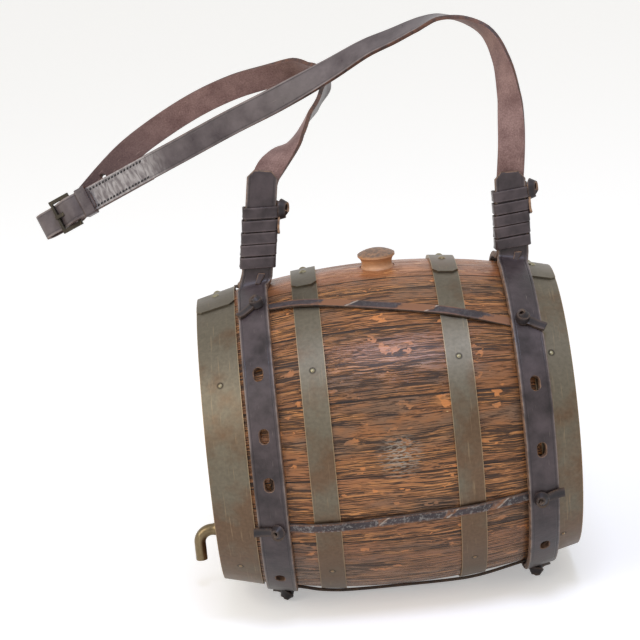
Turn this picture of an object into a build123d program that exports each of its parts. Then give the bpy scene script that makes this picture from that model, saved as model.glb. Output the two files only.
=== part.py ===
from build123d import *
from math import asin, atan2, cos, degrees, hypot, radians, sin, sqrt
import os

# Oak stave keg on its side, bung up, with brass hoops, a swivel spout and a laced leather carrying harness.
# Millimetres. The origin is on the floor under the middle of the keg, X runs along the keg with the spout end
# at -X, the front is -Y and the bung points to +Z.
# Angles round the keg are 0 at the front, 90 at the top, 180 at the back and 270 at the bottom.

os.makedirs("parts", exist_ok=True)

# Keg body
keg_length = 240
belly_radius = 110
end_radius = 93.5
stave_wall = 11.5
stave_count = 14
stave_joint = 0.12
worn_flat = 0.6
chime_bevel = 6
chime_edge = 7.5
chime_depth = 12
croze_depth = 3.5
croze_clearance = 0.1

# Heads
head_thickness = 9
head_clearance = 0.5
tongue_thickness = 5
head_board_width = 56
board_joint = 0.1
dowel_radius = 2.5
dowel_length = 20
dowel_offset = 40
dowel_clearance = 0.08

# Hoops
hoop_thickness = 1.2
hoop_clearance = 0.05
end_hoop_width = 26
quarter_hoop_width = 17
quarter_hoop_place = 47
lap_gap = 0.06
lap_start = 78
lap_joggle = 113
lap_end = 118
lap_hidden = 112
lap_corner = 5
rivet_angles = (92, 107)
rivet_head_radius = 2.6
rivet_head_height = 1.3
rivet_shank_radius = 1.2
nail_angles = (38, 136, 226, 318)
nail_head_radius = 1.4
nail_head_height = 0.6
nail_shank_radius = 0.7
nail_length = 8
nail_reach_angle = 2
pin_clearance = 0.06

# Bung
bung_place = 3
bung_hole_radius = 9
bung_clearance = 0.3
bung_taper = 0.6
bung_shank = 16
bung_base_radius = 11.4
bung_rim_radius = 12.5
bung_neck_radius = 10.2
bung_rim_height = 8
bung_rim_thickness = 1.5
bung_dome = 3.5
bung_seat_depth = 0.8

# Tap and spout
tap_drop = 65
tap_hole_clearance = 0.3
tap_shank_radius = 6
tap_collar_radius = 10
tap_waist_radius = 6.5
tap_joint_radius = 5.2
tap_collar_length = 10.5
tap_nose_length = 3.2
tap_flare_share = 0.25
tap_bore_radius = 3
washer_thickness = 1.5
nut_flats = 18
nut_thickness = 6
nut_chamfer = 0.8
thread_tail = 1.5
joint_gap = 0.3
spigot_radius = 4
spigot_length = 9
spigot_clearance = 0.15
valve_wall = 2
port_radius = 1.3
port_offset = 2.2
spout_radius = 4
spout_bore_radius = 2.6
spout_hub_length = 3.8
hub_middle_share = (0.4, 0.35)
spout_bend_radius = 9
spout_mouth_drop = 21
spout_travel = 90
screw_radius = 1
screw_clearance = 0.2
screw_proud = 0.6
screw_slot_width = 0.5
screw_slot_depth = 0.8
groove_depth = 0.8

# Leather harness
band_width = 20.5
band_thickness = 4
leather_clearance = 0.35
left_band_gap = 2.25
right_band_overlap = 9.25
band_hole_width = 6
band_hole_length = 9.5
left_band_holes = (39, 17, 0, -46, 141, 163, 180, 226)
right_band_holes = (26, 3, -40, 154, 177, 220)
band_hug_end = 80
band_turn_shares = (0.25, 0.5, 0.75)
tab_tip_width = 11.5
tab_tip_length = 5
stack_clearance = 0.15
lace_width = 6.5
lace_thickness = 1.8
lace_slot_clearance = 0.3
lace_hole_inset = 2.5
lace_channel_depth = 2.2
knot_width = 8.5
knot_length = 9.5
knot_height = 4.5
knot_round = 1.4
tail_width = 5
tail_length = 16
tail_thickness = 1.6
lashing_turns = 5
lashing_thickness = 1.4
lashing_corner = 1.4
strap_width = 18
strap_thickness = 2.9

# Buckle
buckle_wire = 1.3
buckle_reach = 13
buckle_side_clearance = 1
prong_width = 2.4
prong_thickness = 1.8
fold_length = 62
fold_eye_radius = 4.2
billet_overlap = 2
keeper_start = -15
keeper_width = 8
keeper_thickness = 1.5

# Sizes that follow from those above
sagitta = belly_radius - end_radius
bilge_radius = ((keg_length / 2) ** 2 + sagitta**2) / (2 * sagitta)
bilge_centre = belly_radius - bilge_radius
axis_height = belly_radius - worn_flat
stave_angle = 360 / stave_count
stave_arc = stave_angle - degrees(stave_joint / belly_radius)
end_hoop_place = (keg_length - end_hoop_width) / 2
end_hoop_edge = end_hoop_place - end_hoop_width / 2
left_band_place = left_band_gap + band_width / 2 - end_hoop_edge
right_band_place = right_band_overlap - band_width / 2 + end_hoop_edge
head_outer = keg_length / 2 - chime_depth
head_inner = head_outer - head_thickness
keg_axis = Axis((0, 0, axis_height), (-1, 0, 0))


def stave_surface(x):
    """Outer radius of the keg at a place along it."""
    return bilge_centre + sqrt(bilge_radius**2 - x**2)


def stave_inside(x):
    """Inner radius of the keg at a place along it."""
    return bilge_centre + sqrt((bilge_radius - stave_wall) ** 2 - x**2)


def surface_slope(x):
    """How fast the outer radius changes along the keg."""
    return -x / sqrt(bilge_radius**2 - x**2)


def outward(angle):
    """Direction straight out from the keg's axis."""
    return Vector(0, -cos(radians(angle)), sin(radians(angle)))


def around(angle, radius, x=0):
    """Point at an angle and radius round the keg's axis."""
    return Vector(x, 0, axis_height) + outward(angle) * radius


def axial_plane(angle):
    """Half plane through the keg's axis: local x runs along the keg and local y outwards."""
    normal = Vector(0, -sin(radians(angle)), -cos(radians(angle)))
    return Plane(origin=(0, 0, axis_height), x_dir=(1, 0, 0), z_dir=normal)


def surface_plane(angle, radius, x, slope=0):
    """Plane that lies on a surface of the keg, with its normal outwards and its local x along the keg."""
    along = Vector(1, 0, 0) + outward(angle) * slope
    normal = outward(angle) - Vector(1, 0, 0) * slope
    return Plane(origin=around(angle, radius, x), x_dir=along, z_dir=normal)


def dome_middle(radius, height, base=0):
    """Point halfway up the section of a round dome that stands on base."""
    sphere = (radius**2 + height**2) / (2 * height)
    turn = asin(radius / sphere) / 2
    return (sphere * sin(turn), base + height - sphere * (1 - cos(turn)))


def keep(piece, name):
    """Label a finished piece and write its STEP file."""
    piece.part.label = name
    export_step(piece.part, f"parts/{name}.step")


# Hoops: each is a cone strip that lies against the staves at the middle of its width
hoop_places = {
    "hoop_left_end": (-end_hoop_place, end_hoop_width),
    "hoop_left_quarter": (-quarter_hoop_place, quarter_hoop_width),
    "hoop_right_quarter": (quarter_hoop_place, quarter_hoop_width),
    "hoop_right_end": (end_hoop_place, end_hoop_width),
}


def hoop_inside(place, x):
    """Inner radius of the hoop at a place, measured at x."""
    return stave_surface(place) + surface_slope(place) * (x - place) + hoop_clearance


def hoop_outside(place, x):
    """Outer radius of a single layer of the hoop."""
    return hoop_inside(place, x) + hoop_thickness


nail_places = [(angle, place) for place, width in hoop_places.values() for angle in nail_angles]


def nail_plane(angle, place):
    """Plane on a hoop's outer face where a nail is driven."""
    return surface_plane(angle, hoop_outside(place, place), place, surface_slope(place))


def rivet_plane(angle, place):
    """Plane on the outer layer of a hoop's lap where a rivet's head lies."""
    lap_radius = hoop_outside(place, place) + hoop_thickness + 1.5 * lap_gap
    return surface_plane(angle, lap_radius, place, surface_slope(place))


# Staves: a bulged outline turned through one share of the circle, each with its croze grooves
half = keg_length / 2
croze_radius = stave_inside(head_outer - tongue_thickness / 2) + croze_depth
tongue_outer = (head_outer + head_inner + tongue_thickness) / 2
groove_width = tongue_thickness + 2 * croze_clearance
for index in range(stave_count):
    middle = 90 + index * stave_angle
    with BuildPart() as stave:
        with BuildSketch(axial_plane(middle - stave_arc / 2)):
            with BuildLine():
                inner_end = half - chime_bevel
                outer_arc = ThreePointArc((-half, end_radius), (0, belly_radius), (half, end_radius))
                right_end = Line(outer_arc @ 1, (half, end_radius - chime_edge))
                right_bevel = Line(right_end @ 1, (inner_end, stave_inside(inner_end)))
                inner_arc = ThreePointArc(
                    right_bevel @ 1, (0, belly_radius - stave_wall), (-inner_end, stave_inside(inner_end))
                )
                left_bevel = Line(inner_arc @ 1, (-half, end_radius - chime_edge))
                Line(left_bevel @ 1, outer_arc @ 0)
            make_face()
            tongue_middle = tongue_outer - tongue_thickness / 2
            with Locations((-tongue_middle, 0), (tongue_middle, 0)):
                Rectangle(groove_width, 2 * croze_radius, mode=Mode.SUBTRACT)
        revolve(axis=keg_axis, revolution_arc=stave_arc)
        for angle, place in nail_places:
            if abs((angle - middle + 180) % 360 - 180) < stave_angle / 2 + nail_reach_angle:
                with Locations(nail_plane(angle, place)):
                    Cylinder(nail_shank_radius + pin_clearance, 2 * nail_length, mode=Mode.SUBTRACT)
        if index == 0:
            with Locations((bung_place, 0, axis_height + belly_radius)):
                Cylinder(bung_hole_radius, 3 * stave_wall, mode=Mode.SUBTRACT)
                Cylinder(bung_base_radius + bung_clearance, 2 * bung_seat_depth, mode=Mode.SUBTRACT)
        if abs((middle - 270 + 180) % 360 - 180) < stave_angle:
            split(bisect_by=Plane.XY, keep=Keep.TOP)
    keep(stave, f"stave_{index + 1:02d}")

# Heads: three boards a side, pinned with dowels, whose tongue sits in the croze
head_radius = stave_inside(head_outer) - head_clearance
tongue_radius = croze_radius - croze_clearance
tap_height = axis_height - tap_drop
dowel_places = [
    (side * (head_outer - head_thickness / 2), seam * head_board_width / 2, axis_height + up * dowel_offset)
    for side in (-1, 1)
    for seam in (-1, 1)
    for up in (-1, 1)
]
for side, side_name in ((-1, "left"), (1, "right")):
    for board in range(3):
        with BuildPart() as head_board:
            with BuildSketch(axial_plane(90)):
                with Locations((side * (head_outer - head_thickness / 2), 0)):
                    Rectangle(head_thickness, 2 * head_radius)
                    Rectangle(tongue_thickness, 2 * tongue_radius)
                with Locations((0, -belly_radius)):
                    Rectangle(keg_length, 2 * belly_radius, mode=Mode.SUBTRACT)
            revolve(axis=keg_axis)
            if board == 1:
                Box(keg_length, head_board_width - board_joint, 4 * belly_radius, mode=Mode.INTERSECT)
            else:
                outer_width = belly_radius - head_board_width / 2
                offset_y = (board - 1) * (head_board_width / 2 + board_joint / 2 + outer_width / 2)
                with Locations((0, offset_y, 0)):
                    Box(keg_length, outer_width, 4 * belly_radius, mode=Mode.INTERSECT)
            with Locations(*dowel_places):
                dowel_hole = (dowel_radius + dowel_clearance, dowel_length + 2 * board_joint)
                Cylinder(*dowel_hole, rotation=(90, 0, 0), mode=Mode.SUBTRACT)
            if board == 1 and side == -1:
                with Locations((-head_outer, 0, tap_height)):
                    tap_hole = (tap_shank_radius + tap_hole_clearance, 4 * head_thickness)
                    Cylinder(*tap_hole, rotation=(0, 90, 0), mode=Mode.SUBTRACT)
        keep(head_board, f"head_{side_name}_{board + 1}")

with BuildPart() as head_dowels:
    with Locations(*dowel_places):
        Cylinder(dowel_radius, dowel_length, rotation=(90, 0, 0))
keep(head_dowels, "head_dowels")

def hoop_section(place, width, lift):
    """Corners of a hoop's cross-section, lifted by its lap."""
    low = [(x, hoop_inside(place, x) + lift) for x in (place - width / 2, place + width / 2)]
    high = [(x, radius + hoop_thickness) for x, radius in reversed(low)]
    return low + high


# Brass hoops: the strip runs once round and laps over its own start, where two rivets hold it
for name, (place, width) in hoop_places.items():
    single = hoop_section(place, width, 0)
    lapped = hoop_section(place, width, hoop_thickness + lap_gap)
    with BuildPart() as hoop:
        with BuildSketch(axial_plane(lap_start)):
            Polygon(*lapped, align=None)
        revolve(axis=keg_axis, revolution_arc=lap_joggle - lap_start)
        for edge_x in (place - width / 2, place + width / 2):
            corner = around(lap_start, hoop_outside(place, edge_x), edge_x)
            with BuildSketch(Plane(origin=corner, x_dir=(1, 0, 0), z_dir=outward(lap_start))):
                Rectangle(lap_corner, lap_corner, rotation=45)
            extrude(amount=lap_corner, both=True, mode=Mode.SUBTRACT)
        with BuildSketch(axial_plane(lap_end)):
            Polygon(*single, align=None)
        revolve(axis=keg_axis, revolution_arc=360 - lap_end + lap_hidden)
        with BuildSketch(axial_plane(lap_end)):
            Polygon(*single, align=None)
        with BuildSketch(axial_plane(lap_joggle)):
            Polygon(*lapped, align=None)
        loft(ruled=True)
        for angle in rivet_angles:
            with Locations(rivet_plane(angle, place)):
                Cylinder(rivet_shank_radius + pin_clearance, 6 * hoop_thickness, mode=Mode.SUBTRACT)
        for angle in nail_angles:
            with Locations(nail_plane(angle, place)):
                Cylinder(nail_shank_radius + pin_clearance, 6 * hoop_thickness, mode=Mode.SUBTRACT)
    keep(hoop, name)


def domed_pin(head_radius, head_height, shank_radius, shank_length):
    """Round-headed rivet or nail, standing on the plane under its head."""
    with BuildPart() as pin:
        with BuildSketch(Plane.XZ):
            with BuildLine():
                tip, side = (0, -shank_length), (shank_radius, -shank_length)
                shank = Polyline(tip, side, (shank_radius, 0), (head_radius, 0))
                crown = ThreePointArc(shank @ 1, dome_middle(head_radius, head_height), (0, head_height))
                Line(crown @ 1, shank @ 0)
            make_face()
        revolve(axis=Axis.Z)
    return pin.part


rivet_grip = (2 * hoop_thickness + lap_gap) / hypot(1, surface_slope(end_hoop_place))
rivet = domed_pin(rivet_head_radius, rivet_head_height, rivet_shank_radius, rivet_grip)
nail = domed_pin(nail_head_radius, nail_head_height, nail_shank_radius, nail_length)
with BuildPart() as hoop_rivets:
    for place, width in hoop_places.values():
        for angle in rivet_angles:
            with Locations(rivet_plane(angle, place)):
                add(rivet)
keep(hoop_rivets, "hoop_rivets")

with BuildPart() as hoop_nails:
    for angle, place in nail_places:
        with Locations(nail_plane(angle, place).offset(lap_gap / 2)):
            add(nail)
keep(hoop_nails, "hoop_nails")

# Turned bung: a tapered shank in the bung hole under a domed cap with a hollow neck
bung_seat = axis_height + belly_radius - bung_seat_depth + pin_clearance
with BuildPart() as bung:
    with BuildSketch(Plane(origin=(bung_place, 0, bung_seat), x_dir=(1, 0, 0), z_dir=(0, -1, 0))):
        with BuildLine():
            shank_top = bung_hole_radius - bung_clearance / 2
            shank = Polyline(
                (0, -bung_shank), (shank_top - bung_taper, -bung_shank), (shank_top, 0), (bung_base_radius, 0)
            )
            neck_middle = (bung_neck_radius, bung_rim_height / 2)
            neck = ThreePointArc(shank @ 1, neck_middle, (bung_rim_radius, bung_rim_height))
            rim = Line(neck @ 1, (bung_rim_radius, bung_rim_height + bung_rim_thickness))
            bung_top = bung_rim_height + bung_rim_thickness + bung_dome
            dome = ThreePointArc(rim @ 1, dome_middle(bung_rim_radius, bung_dome, (rim @ 1).Y), (0, bung_top))
            Line(dome @ 1, shank @ 0)
        make_face()
    revolve(axis=Axis((bung_place, 0, 0), (0, 0, 1)))
keep(bung, "bung")

# Brass tap: a flared collar outside the head, a threaded shank through it, and a valve face with one port
tap_axis = Axis((0, 0, tap_height), (1, 0, 0))
tap_plane = Plane(origin=(0, 0, tap_height), x_dir=(1, 0, 0), z_dir=(0, -1, 0))
collar_back = -head_outer - washer_thickness
collar_waist = collar_back - tap_collar_length
tap_face = collar_waist - tap_nose_length
nut_back = -head_inner + washer_thickness
shank_end = nut_back + nut_thickness + thread_tail
socket_end = tap_face + spigot_length + joint_gap
valve_end = socket_end + valve_wall
groove_place = tap_face + spigot_length / 2
with BuildPart() as tap_body:
    with BuildSketch(tap_plane):
        with BuildLine():
            outline = Polyline(
                (shank_end, 0), (shank_end, tap_shank_radius), (collar_back, tap_shank_radius),
                (collar_back, tap_collar_radius), (collar_back - washer_thickness, tap_collar_radius),
            )
            flare_middle = (
                (collar_back + collar_waist) / 2 - washer_thickness,
                tap_waist_radius + tap_flare_share * (tap_collar_radius - tap_waist_radius),
            )
            flare = ThreePointArc(outline @ 1, flare_middle, (collar_waist, tap_waist_radius))
            Polyline(flare @ 1, (tap_face, tap_joint_radius), (tap_face, 0), (shank_end, 0))
        make_face()
    revolve(axis=tap_axis)
    with BuildSketch(tap_plane):
        with Locations((tap_face, 0)):
            socket_length = socket_end - tap_face
            Rectangle(socket_length, spigot_radius + spigot_clearance, align=(Align.MIN, Align.MIN))
        with Locations((valve_end, 0)):
            Rectangle(shank_end - valve_end, tap_bore_radius, align=(Align.MIN, Align.MIN))
    revolve(axis=tap_axis, mode=Mode.SUBTRACT)
    with Locations((socket_end, 0, tap_height - port_offset)):
        Cylinder(port_radius, 4 * valve_wall, rotation=(0, 90, 0), mode=Mode.SUBTRACT)
    with Locations((groove_place, 0, tap_height + tap_collar_radius / 2 + spigot_radius / 2)):
        Cylinder(screw_radius + pin_clearance, tap_collar_radius, mode=Mode.SUBTRACT)
keep(tap_body, "tap_body")

for name, washer_x in (("tap_washer_outside", collar_back), ("tap_washer_inside", -head_inner)):
    with BuildPart() as washer:
        with BuildSketch(Plane.YZ.offset(washer_x).shift_origin((washer_x, 0, tap_height))):
            Circle(tap_collar_radius)
            Circle(tap_shank_radius + pin_clearance, mode=Mode.SUBTRACT)
        extrude(amount=washer_thickness)
    keep(washer, name)

with BuildPart() as tap_nut:
    with BuildSketch(Plane.YZ.offset(nut_back).shift_origin((nut_back, 0, tap_height))):
        RegularPolygon(nut_flats / 2, 6, major_radius=False)
        Circle(tap_shank_radius + pin_clearance, mode=Mode.SUBTRACT)
    extrude(amount=nut_thickness)
    chamfer(tap_nut.edges().filter_by(GeomType.LINE).filter_by(Axis.X), length=nut_chamfer)
keep(tap_nut, "tap_nut")

# Swivel spout: its spigot turns in the tap's socket, and its own port opens or shuts the tap's port
hub_end = tap_face - joint_gap - spout_hub_length
spout_drop_x = hub_end - spout_bend_radius
spout_mouth = tap_height - spout_mouth_drop
groove_width = 2 * (screw_radius + screw_clearance)
groove_floor = spigot_radius - groove_depth
groove_half_angle = spout_travel + degrees(asin((screw_radius + screw_clearance / 2) / groove_floor))
with BuildPart() as spout:
    with BuildSketch(tap_plane):
        with BuildLine():
            hub_start = tap_face - joint_gap
            spigot_end = tap_face + spigot_length
            spigot_top = (spigot_end, spigot_radius)
            spigot = Polyline(
                (spigot_end, 0), spigot_top, (hub_start, spigot_radius), (hub_start, tap_joint_radius)
            )
            hub_middle = (
                hub_start - hub_middle_share[0] * spout_hub_length,
                spout_radius + hub_middle_share[1] * (tap_joint_radius - spout_radius),
            )
            hub = ThreePointArc(spigot @ 1, hub_middle, (hub_end, spout_radius))
            Polyline(hub @ 1, (hub_end, 0), (spigot_end, 0))
        make_face()
    revolve(axis=tap_axis)
    with BuildSketch(Plane(origin=(hub_end, 0, tap_height), x_dir=(0, 1, 0), z_dir=(-1, 0, 0))):
        Circle(spout_radius)
    bend_axis = Axis((hub_end, 0, tap_height - spout_bend_radius), (0, -1, 0))
    revolve(axis=bend_axis, revolution_arc=90)
    with BuildSketch(Plane(origin=(spout_drop_x, 0, spout_mouth))):
        Circle(spout_radius)
    extrude(amount=spout_mouth_drop - spout_bend_radius)
    with BuildSketch(Plane(origin=(hub_end, 0, tap_height), x_dir=(0, 1, 0), z_dir=(1, 0, 0))):
        Circle(spout_bore_radius)
    extrude(amount=spigot_end - valve_wall - hub_end, mode=Mode.SUBTRACT)
    with BuildSketch(Plane(origin=(hub_end, 0, tap_height), x_dir=(0, 1, 0), z_dir=(-1, 0, 0))):
        Circle(spout_bore_radius)
    revolve(axis=bend_axis, revolution_arc=90, mode=Mode.SUBTRACT)
    with BuildSketch(Plane(origin=(spout_drop_x, 0, spout_mouth))):
        Circle(spout_bore_radius)
    extrude(amount=spout_mouth_drop - spout_bend_radius, mode=Mode.SUBTRACT)
    with Locations((spigot_end, 0, tap_height - port_offset)):
        Cylinder(port_radius, 3 * valve_wall, rotation=(0, 90, 0), mode=Mode.SUBTRACT)
    groove_turn = radians(groove_half_angle)
    groove_start = Vector(0, -sin(groove_turn), cos(groove_turn))
    groove_plane = Plane(
        origin=(groove_place, 0, tap_height), x_dir=(1, 0, 0), z_dir=Vector(1, 0, 0).cross(groove_start)
    )
    with BuildSketch(groove_plane):
        with Locations((0, groove_floor)):
            Rectangle(groove_width, 2 * groove_depth, align=(Align.CENTER, Align.MIN))
    revolve(
        axis=Axis((0, 0, tap_height), (-1, 0, 0)), revolution_arc=2 * groove_half_angle, mode=Mode.SUBTRACT
    )
keep(spout, "spout")

with BuildPart() as spout_screw:
    screw_tip = groove_floor + screw_clearance
    with BuildSketch(Plane(origin=(groove_place, 0, tap_height + screw_tip))):
        Circle(screw_radius)
    screw_top = tap_waist_radius + screw_proud
    extrude(amount=screw_top - screw_tip)
    with Locations((groove_place, 0, tap_height + screw_top)):
        Box(3 * screw_radius, screw_slot_width, screw_slot_depth, mode=Mode.SUBTRACT)
keep(spout_screw, "spout_screw")

# Leather bands: each hugs the keg and turns up at the top into a front and a back tab beside the strap
strip_half = strap_thickness / 2
tab_offset = strip_half + stack_clearance + band_thickness / 2
right_lap_radius = hoop_outside(end_hoop_place, end_hoop_edge) + hoop_thickness + lap_gap
right_band_drop = surface_slope(right_band_place) * (right_band_place - end_hoop_edge)
bands = {
    "left": {
        "place": left_band_place, "holes": left_band_holes, "turn_up": 8,
        "surface": stave_surface(left_band_place) + leather_clearance,
        "foot": (left_band_place + 4.1, 113), "head": (left_band_place + 14.9, 183),
        "back_top": 161, "lashing": (113.5, 8.4, 7.8),
    },
    "right": {
        "place": right_band_place, "holes": right_band_holes, "turn_up": 6,
        "surface": right_lap_radius + leather_clearance + right_band_drop,
        "foot": (right_band_place + 1.5, 110), "head": (right_band_place + 3, 166),
        "back_top": 155, "lashing": (110.5, 8.1, 7.4),
    },
}


def band_inside(side, x):
    """Radius of a band's underside at a place along the keg."""
    band = bands[side]
    return band["surface"] + surface_slope(band["place"]) * (x - band["place"])


def band_middle(side, x):
    """Radius of the middle of a band's thickness at a place along the keg."""
    return band_inside(side, x) + band_thickness / 2 * hypot(1, surface_slope(bands[side]["place"]))


def stack_point(side, height, y=0):
    """Point on the middle line of the strap between the two tabs, at a height above the keg's axis."""
    foot, head = bands[side]["foot"], bands[side]["head"]
    x = foot[0] + (head[0] - foot[0]) * (height - foot[1]) / (head[1] - foot[1])
    return Vector(x, y, axis_height + height)


def stack_up(side):
    """Direction in which the tabs and the strap between them rise."""
    foot, head = bands[side]["foot"], bands[side]["head"]
    return (stack_point(side, head[1]) - stack_point(side, foot[1])).normalized()


def stack_across(side):
    """Direction across the tabs, square to the way that they rise."""
    up = stack_up(side)
    return Vector(up.Z, 0, -up.X)


def section_face(point, across, heading, width, thickness):
    """Rectangle square to a heading, one of the sections of a strip of leather."""
    with BuildSketch(Plane(origin=point, x_dir=across, z_dir=heading)) as section:
        Rectangle(width, thickness)
    return section.sketch


def tab_sections(side, facing, top_height):
    """Sections of a band's end, round its turn and up to the clipped tip. Front is -1, back 1."""
    place = bands[side]["place"]
    slope = surface_slope(place)
    radius = band_middle(side, place)
    turn_radius = bands[side]["turn_up"]
    centre_y = tab_offset + turn_radius
    centre_z = sqrt((radius + turn_radius) ** 2 - centre_y**2)
    leave = degrees(atan2(centre_z, centre_y))
    up = stack_up(side)
    across_top = stack_across(side)
    sections = []
    for angle in (band_hug_end, leave):
        out = Vector(0, facing * cos(radians(angle)), sin(radians(angle)))
        heading = Vector(0, -facing * sin(radians(angle)), cos(radians(angle)))
        point = Vector(place, 0, axis_height) + out * radius
        across_start = (Vector(1, 0, 0) + out * slope).normalized()
        sections.append(section_face(point, across_start, heading, band_width, band_thickness))
    foot = stack_point(side, centre_z, facing * tab_offset)
    for share in band_turn_shares:
        turn = radians(leave) * (1 - share)
        y = facing * (centre_y - turn_radius * cos(turn))
        z = axis_height + centre_z - turn_radius * sin(turn)
        heading = Vector(0, -facing * sin(turn), cos(turn))
        across = across_start * (1 - share) + across_top * share
        point = Vector(place + (foot.X - place) * share, y, z)
        sections.append(section_face(point, across, heading, band_width, band_thickness))
    sections.append(section_face(foot, across_top, up, band_width, band_thickness))
    for height, width in ((top_height - tab_tip_length, band_width), (top_height, tab_tip_width)):
        point = stack_point(side, height, facing * tab_offset)
        sections.append(section_face(point, across_top, up, width, band_thickness))
    return sections


# The five laces: the angle round the keg where each is knotted on the left and on the right band, and the
# directions in which its two tails lie, 0 towards +X and 90 on round the keg
laces = {
    "lace_front_upper": ((70, 50), (215, 330)),
    "lace_front_lower": ((-18, -15), (178, 4)),
    "lace_bottom": ((288, 290), (240, 300)),
    "lace_back_lower": ((198, 195), (190, 350)),
    "lace_back_upper": ((118, 134), (160, 20)),
}
belly_side = {"left": 1, "right": -1}


def lace_hole(side):
    """Place along the keg of a band's lace holes."""
    return bands[side]["place"] + belly_side[side] * lace_hole_inset


for side, band in bands.items():
    slope = surface_slope(band["place"])
    front_tab = tab_sections(side, -1, band["head"][1])
    back_tab = tab_sections(side, 1, band["back_top"])
    with BuildPart() as harness_band:
        with BuildSketch(axial_plane(180 - band_hug_end)):
            with Locations((band["place"], band_middle(side, band["place"]))):
                Rectangle(band_width, band_thickness, rotation=degrees(atan2(slope, 1)))
        revolve(axis=keg_axis, revolution_arc=180 + 2 * band_hug_end)
        loft(sections=front_tab, ruled=True)
        loft(sections=back_tab, ruled=True)
        for angle in band["holes"]:
            with BuildSketch(surface_plane(angle, band_middle(side, band["place"]), band["place"], slope)):
                SlotOverall(band_hole_length, band_hole_width, rotation=90)
            extrude(amount=band_thickness, both=True, mode=Mode.SUBTRACT)
        hole_x = lace_hole(side)
        slot_width = lace_thickness + 2 * lace_slot_clearance
        slot_length = lace_width + 2 * lace_slot_clearance
        for ends, tails in laces.values():
            angle = ends[0] if side == "left" else ends[1]
            climb = radians(ends[1] - ends[0]) * belly_radius / (lace_hole("right") - lace_hole("left"))
            with BuildSketch(surface_plane(angle, band_middle(side, hole_x), hole_x)):
                Rectangle(slot_width, slot_length)
            extrude(amount=band_thickness, both=True, mode=Mode.SUBTRACT)
            under = surface_plane(angle, band_inside(side, hole_x), hole_x, slope).offset(-band_thickness)
            reach = belly_side[side] * (band_width - slot_width) / 2
            with BuildSketch(under):
                with Locations((reach, reach * climb)):
                    Rectangle(band_width, slot_length + lace_thickness / 2, rotation=degrees(atan2(climb, 1)))
            extrude(amount=band_thickness + lace_channel_depth, mode=Mode.SUBTRACT)
    keep(harness_band, f"harness_band_{side}")


def strip_sections(points, normals, width, thickness):
    """Mitred sections of a flat strip: normals says which way its outer face looks at each point."""
    sections = []
    for index, point in enumerate(points):
        last = max(index - 1, 0)
        following = min(index + 1, len(points) - 1)
        heading_in = (point - points[last]).normalized() if index > last else None
        heading_out = (points[following] - point).normalized() if following > index else heading_in
        heading_in = heading_in or heading_out
        heading = (heading_in + heading_out).normalized()
        half_turn = radians(heading_in.get_angle(heading_out)) / 2
        across = heading.cross(normals[index])
        sections.append(section_face(point, across, heading, width, thickness / cos(half_turn)))
    return sections


# Laces: each runs under a band, over the hoops and the belly, and under the other band, with its ends brought
# up through slots and knotted
def lace_stops():
    """Place along the keg and radius of each bend of a lace's middle line, from left to right."""
    lift = lace_thickness / 2 + leather_clearance
    quarter_edge = quarter_hoop_place + quarter_hoop_width / 2
    quarter_inner = quarter_hoop_place - quarter_hoop_width / 2
    left_edge = bands["left"]["place"] + band_width / 2 + lace_thickness
    right_edge = bands["right"]["place"] - band_width / 2 - lace_thickness
    outer = hoop_outside(quarter_hoop_place, quarter_edge) + lift
    inner = hoop_outside(quarter_hoop_place, quarter_inner) + lift
    under_left = [(x, stave_surface(x) + lift) for x in (lace_hole("left"), left_edge)]
    under_right = [(x, stave_surface(x) + lift) for x in (right_edge, lace_hole("right"))]
    over_left = [(-quarter_edge, outer), (-quarter_inner, inner)]
    over_right = [(quarter_inner, inner), (quarter_edge, outer)]
    return under_left + over_left + [(0, belly_radius + lift)] + over_right + under_right


def knot_plane(side, angle):
    """Plane on a band's outer face, at a lace slot."""
    x = lace_hole(side)
    radius = 2 * band_middle(side, x) - band_inside(side, x) + stack_clearance
    return surface_plane(angle, radius, x, surface_slope(bands[side]["place"]))


for name, (ends, tails) in laces.items():
    stops = lace_stops()
    span = stops[-1][0] - stops[0][0]
    turns = [ends[0] + (ends[1] - ends[0]) * (x - stops[0][0]) / span for x, radius in stops]
    route = [around(turn, radius, x) for turn, (x, radius) in zip(turns, stops)]
    facings = [outward(turn) for turn in turns]
    for side, at_end in (("left", 0), ("right", -1)):
        stub_x = stops[at_end][0]
        stub_top = around(ends[at_end], band_middle(side, stub_x) + band_thickness, stub_x)
        if side == "left":
            route.insert(0, stub_top)
            facings.insert(0, Vector(1, 0, 0))
        else:
            route.append(stub_top)
            facings.append(Vector(-1, 0, 0))
    lace_path = strip_sections(route, facings, lace_width, lace_thickness)
    with BuildPart() as lace:
        loft(sections=lace_path, ruled=True)
        for side, angle, tail_turn in (("left", ends[0], tails[0]), ("right", ends[1], tails[1])):
            with BuildSketch(knot_plane(side, angle)):
                RectangleRounded(knot_width, knot_length, knot_round)
            extrude(amount=knot_height, taper=15)
            with BuildSketch(knot_plane(side, angle).offset(leather_clearance)):
                Rectangle(tail_length, tail_width, rotation=tail_turn, align=(Align.MIN, Align.CENTER))
            extrude(amount=tail_thickness)
    keep(lace, name)

# Lashings: one flat thong wound round the tabs and the strap, with its ends knotted at the side
corner_steps = (15, 45, 75)
side_half = band_width / 2 + leather_clearance + lashing_thickness / 2
front_half = tab_offset + band_thickness / 2 + leather_clearance + lashing_thickness / 2


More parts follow.
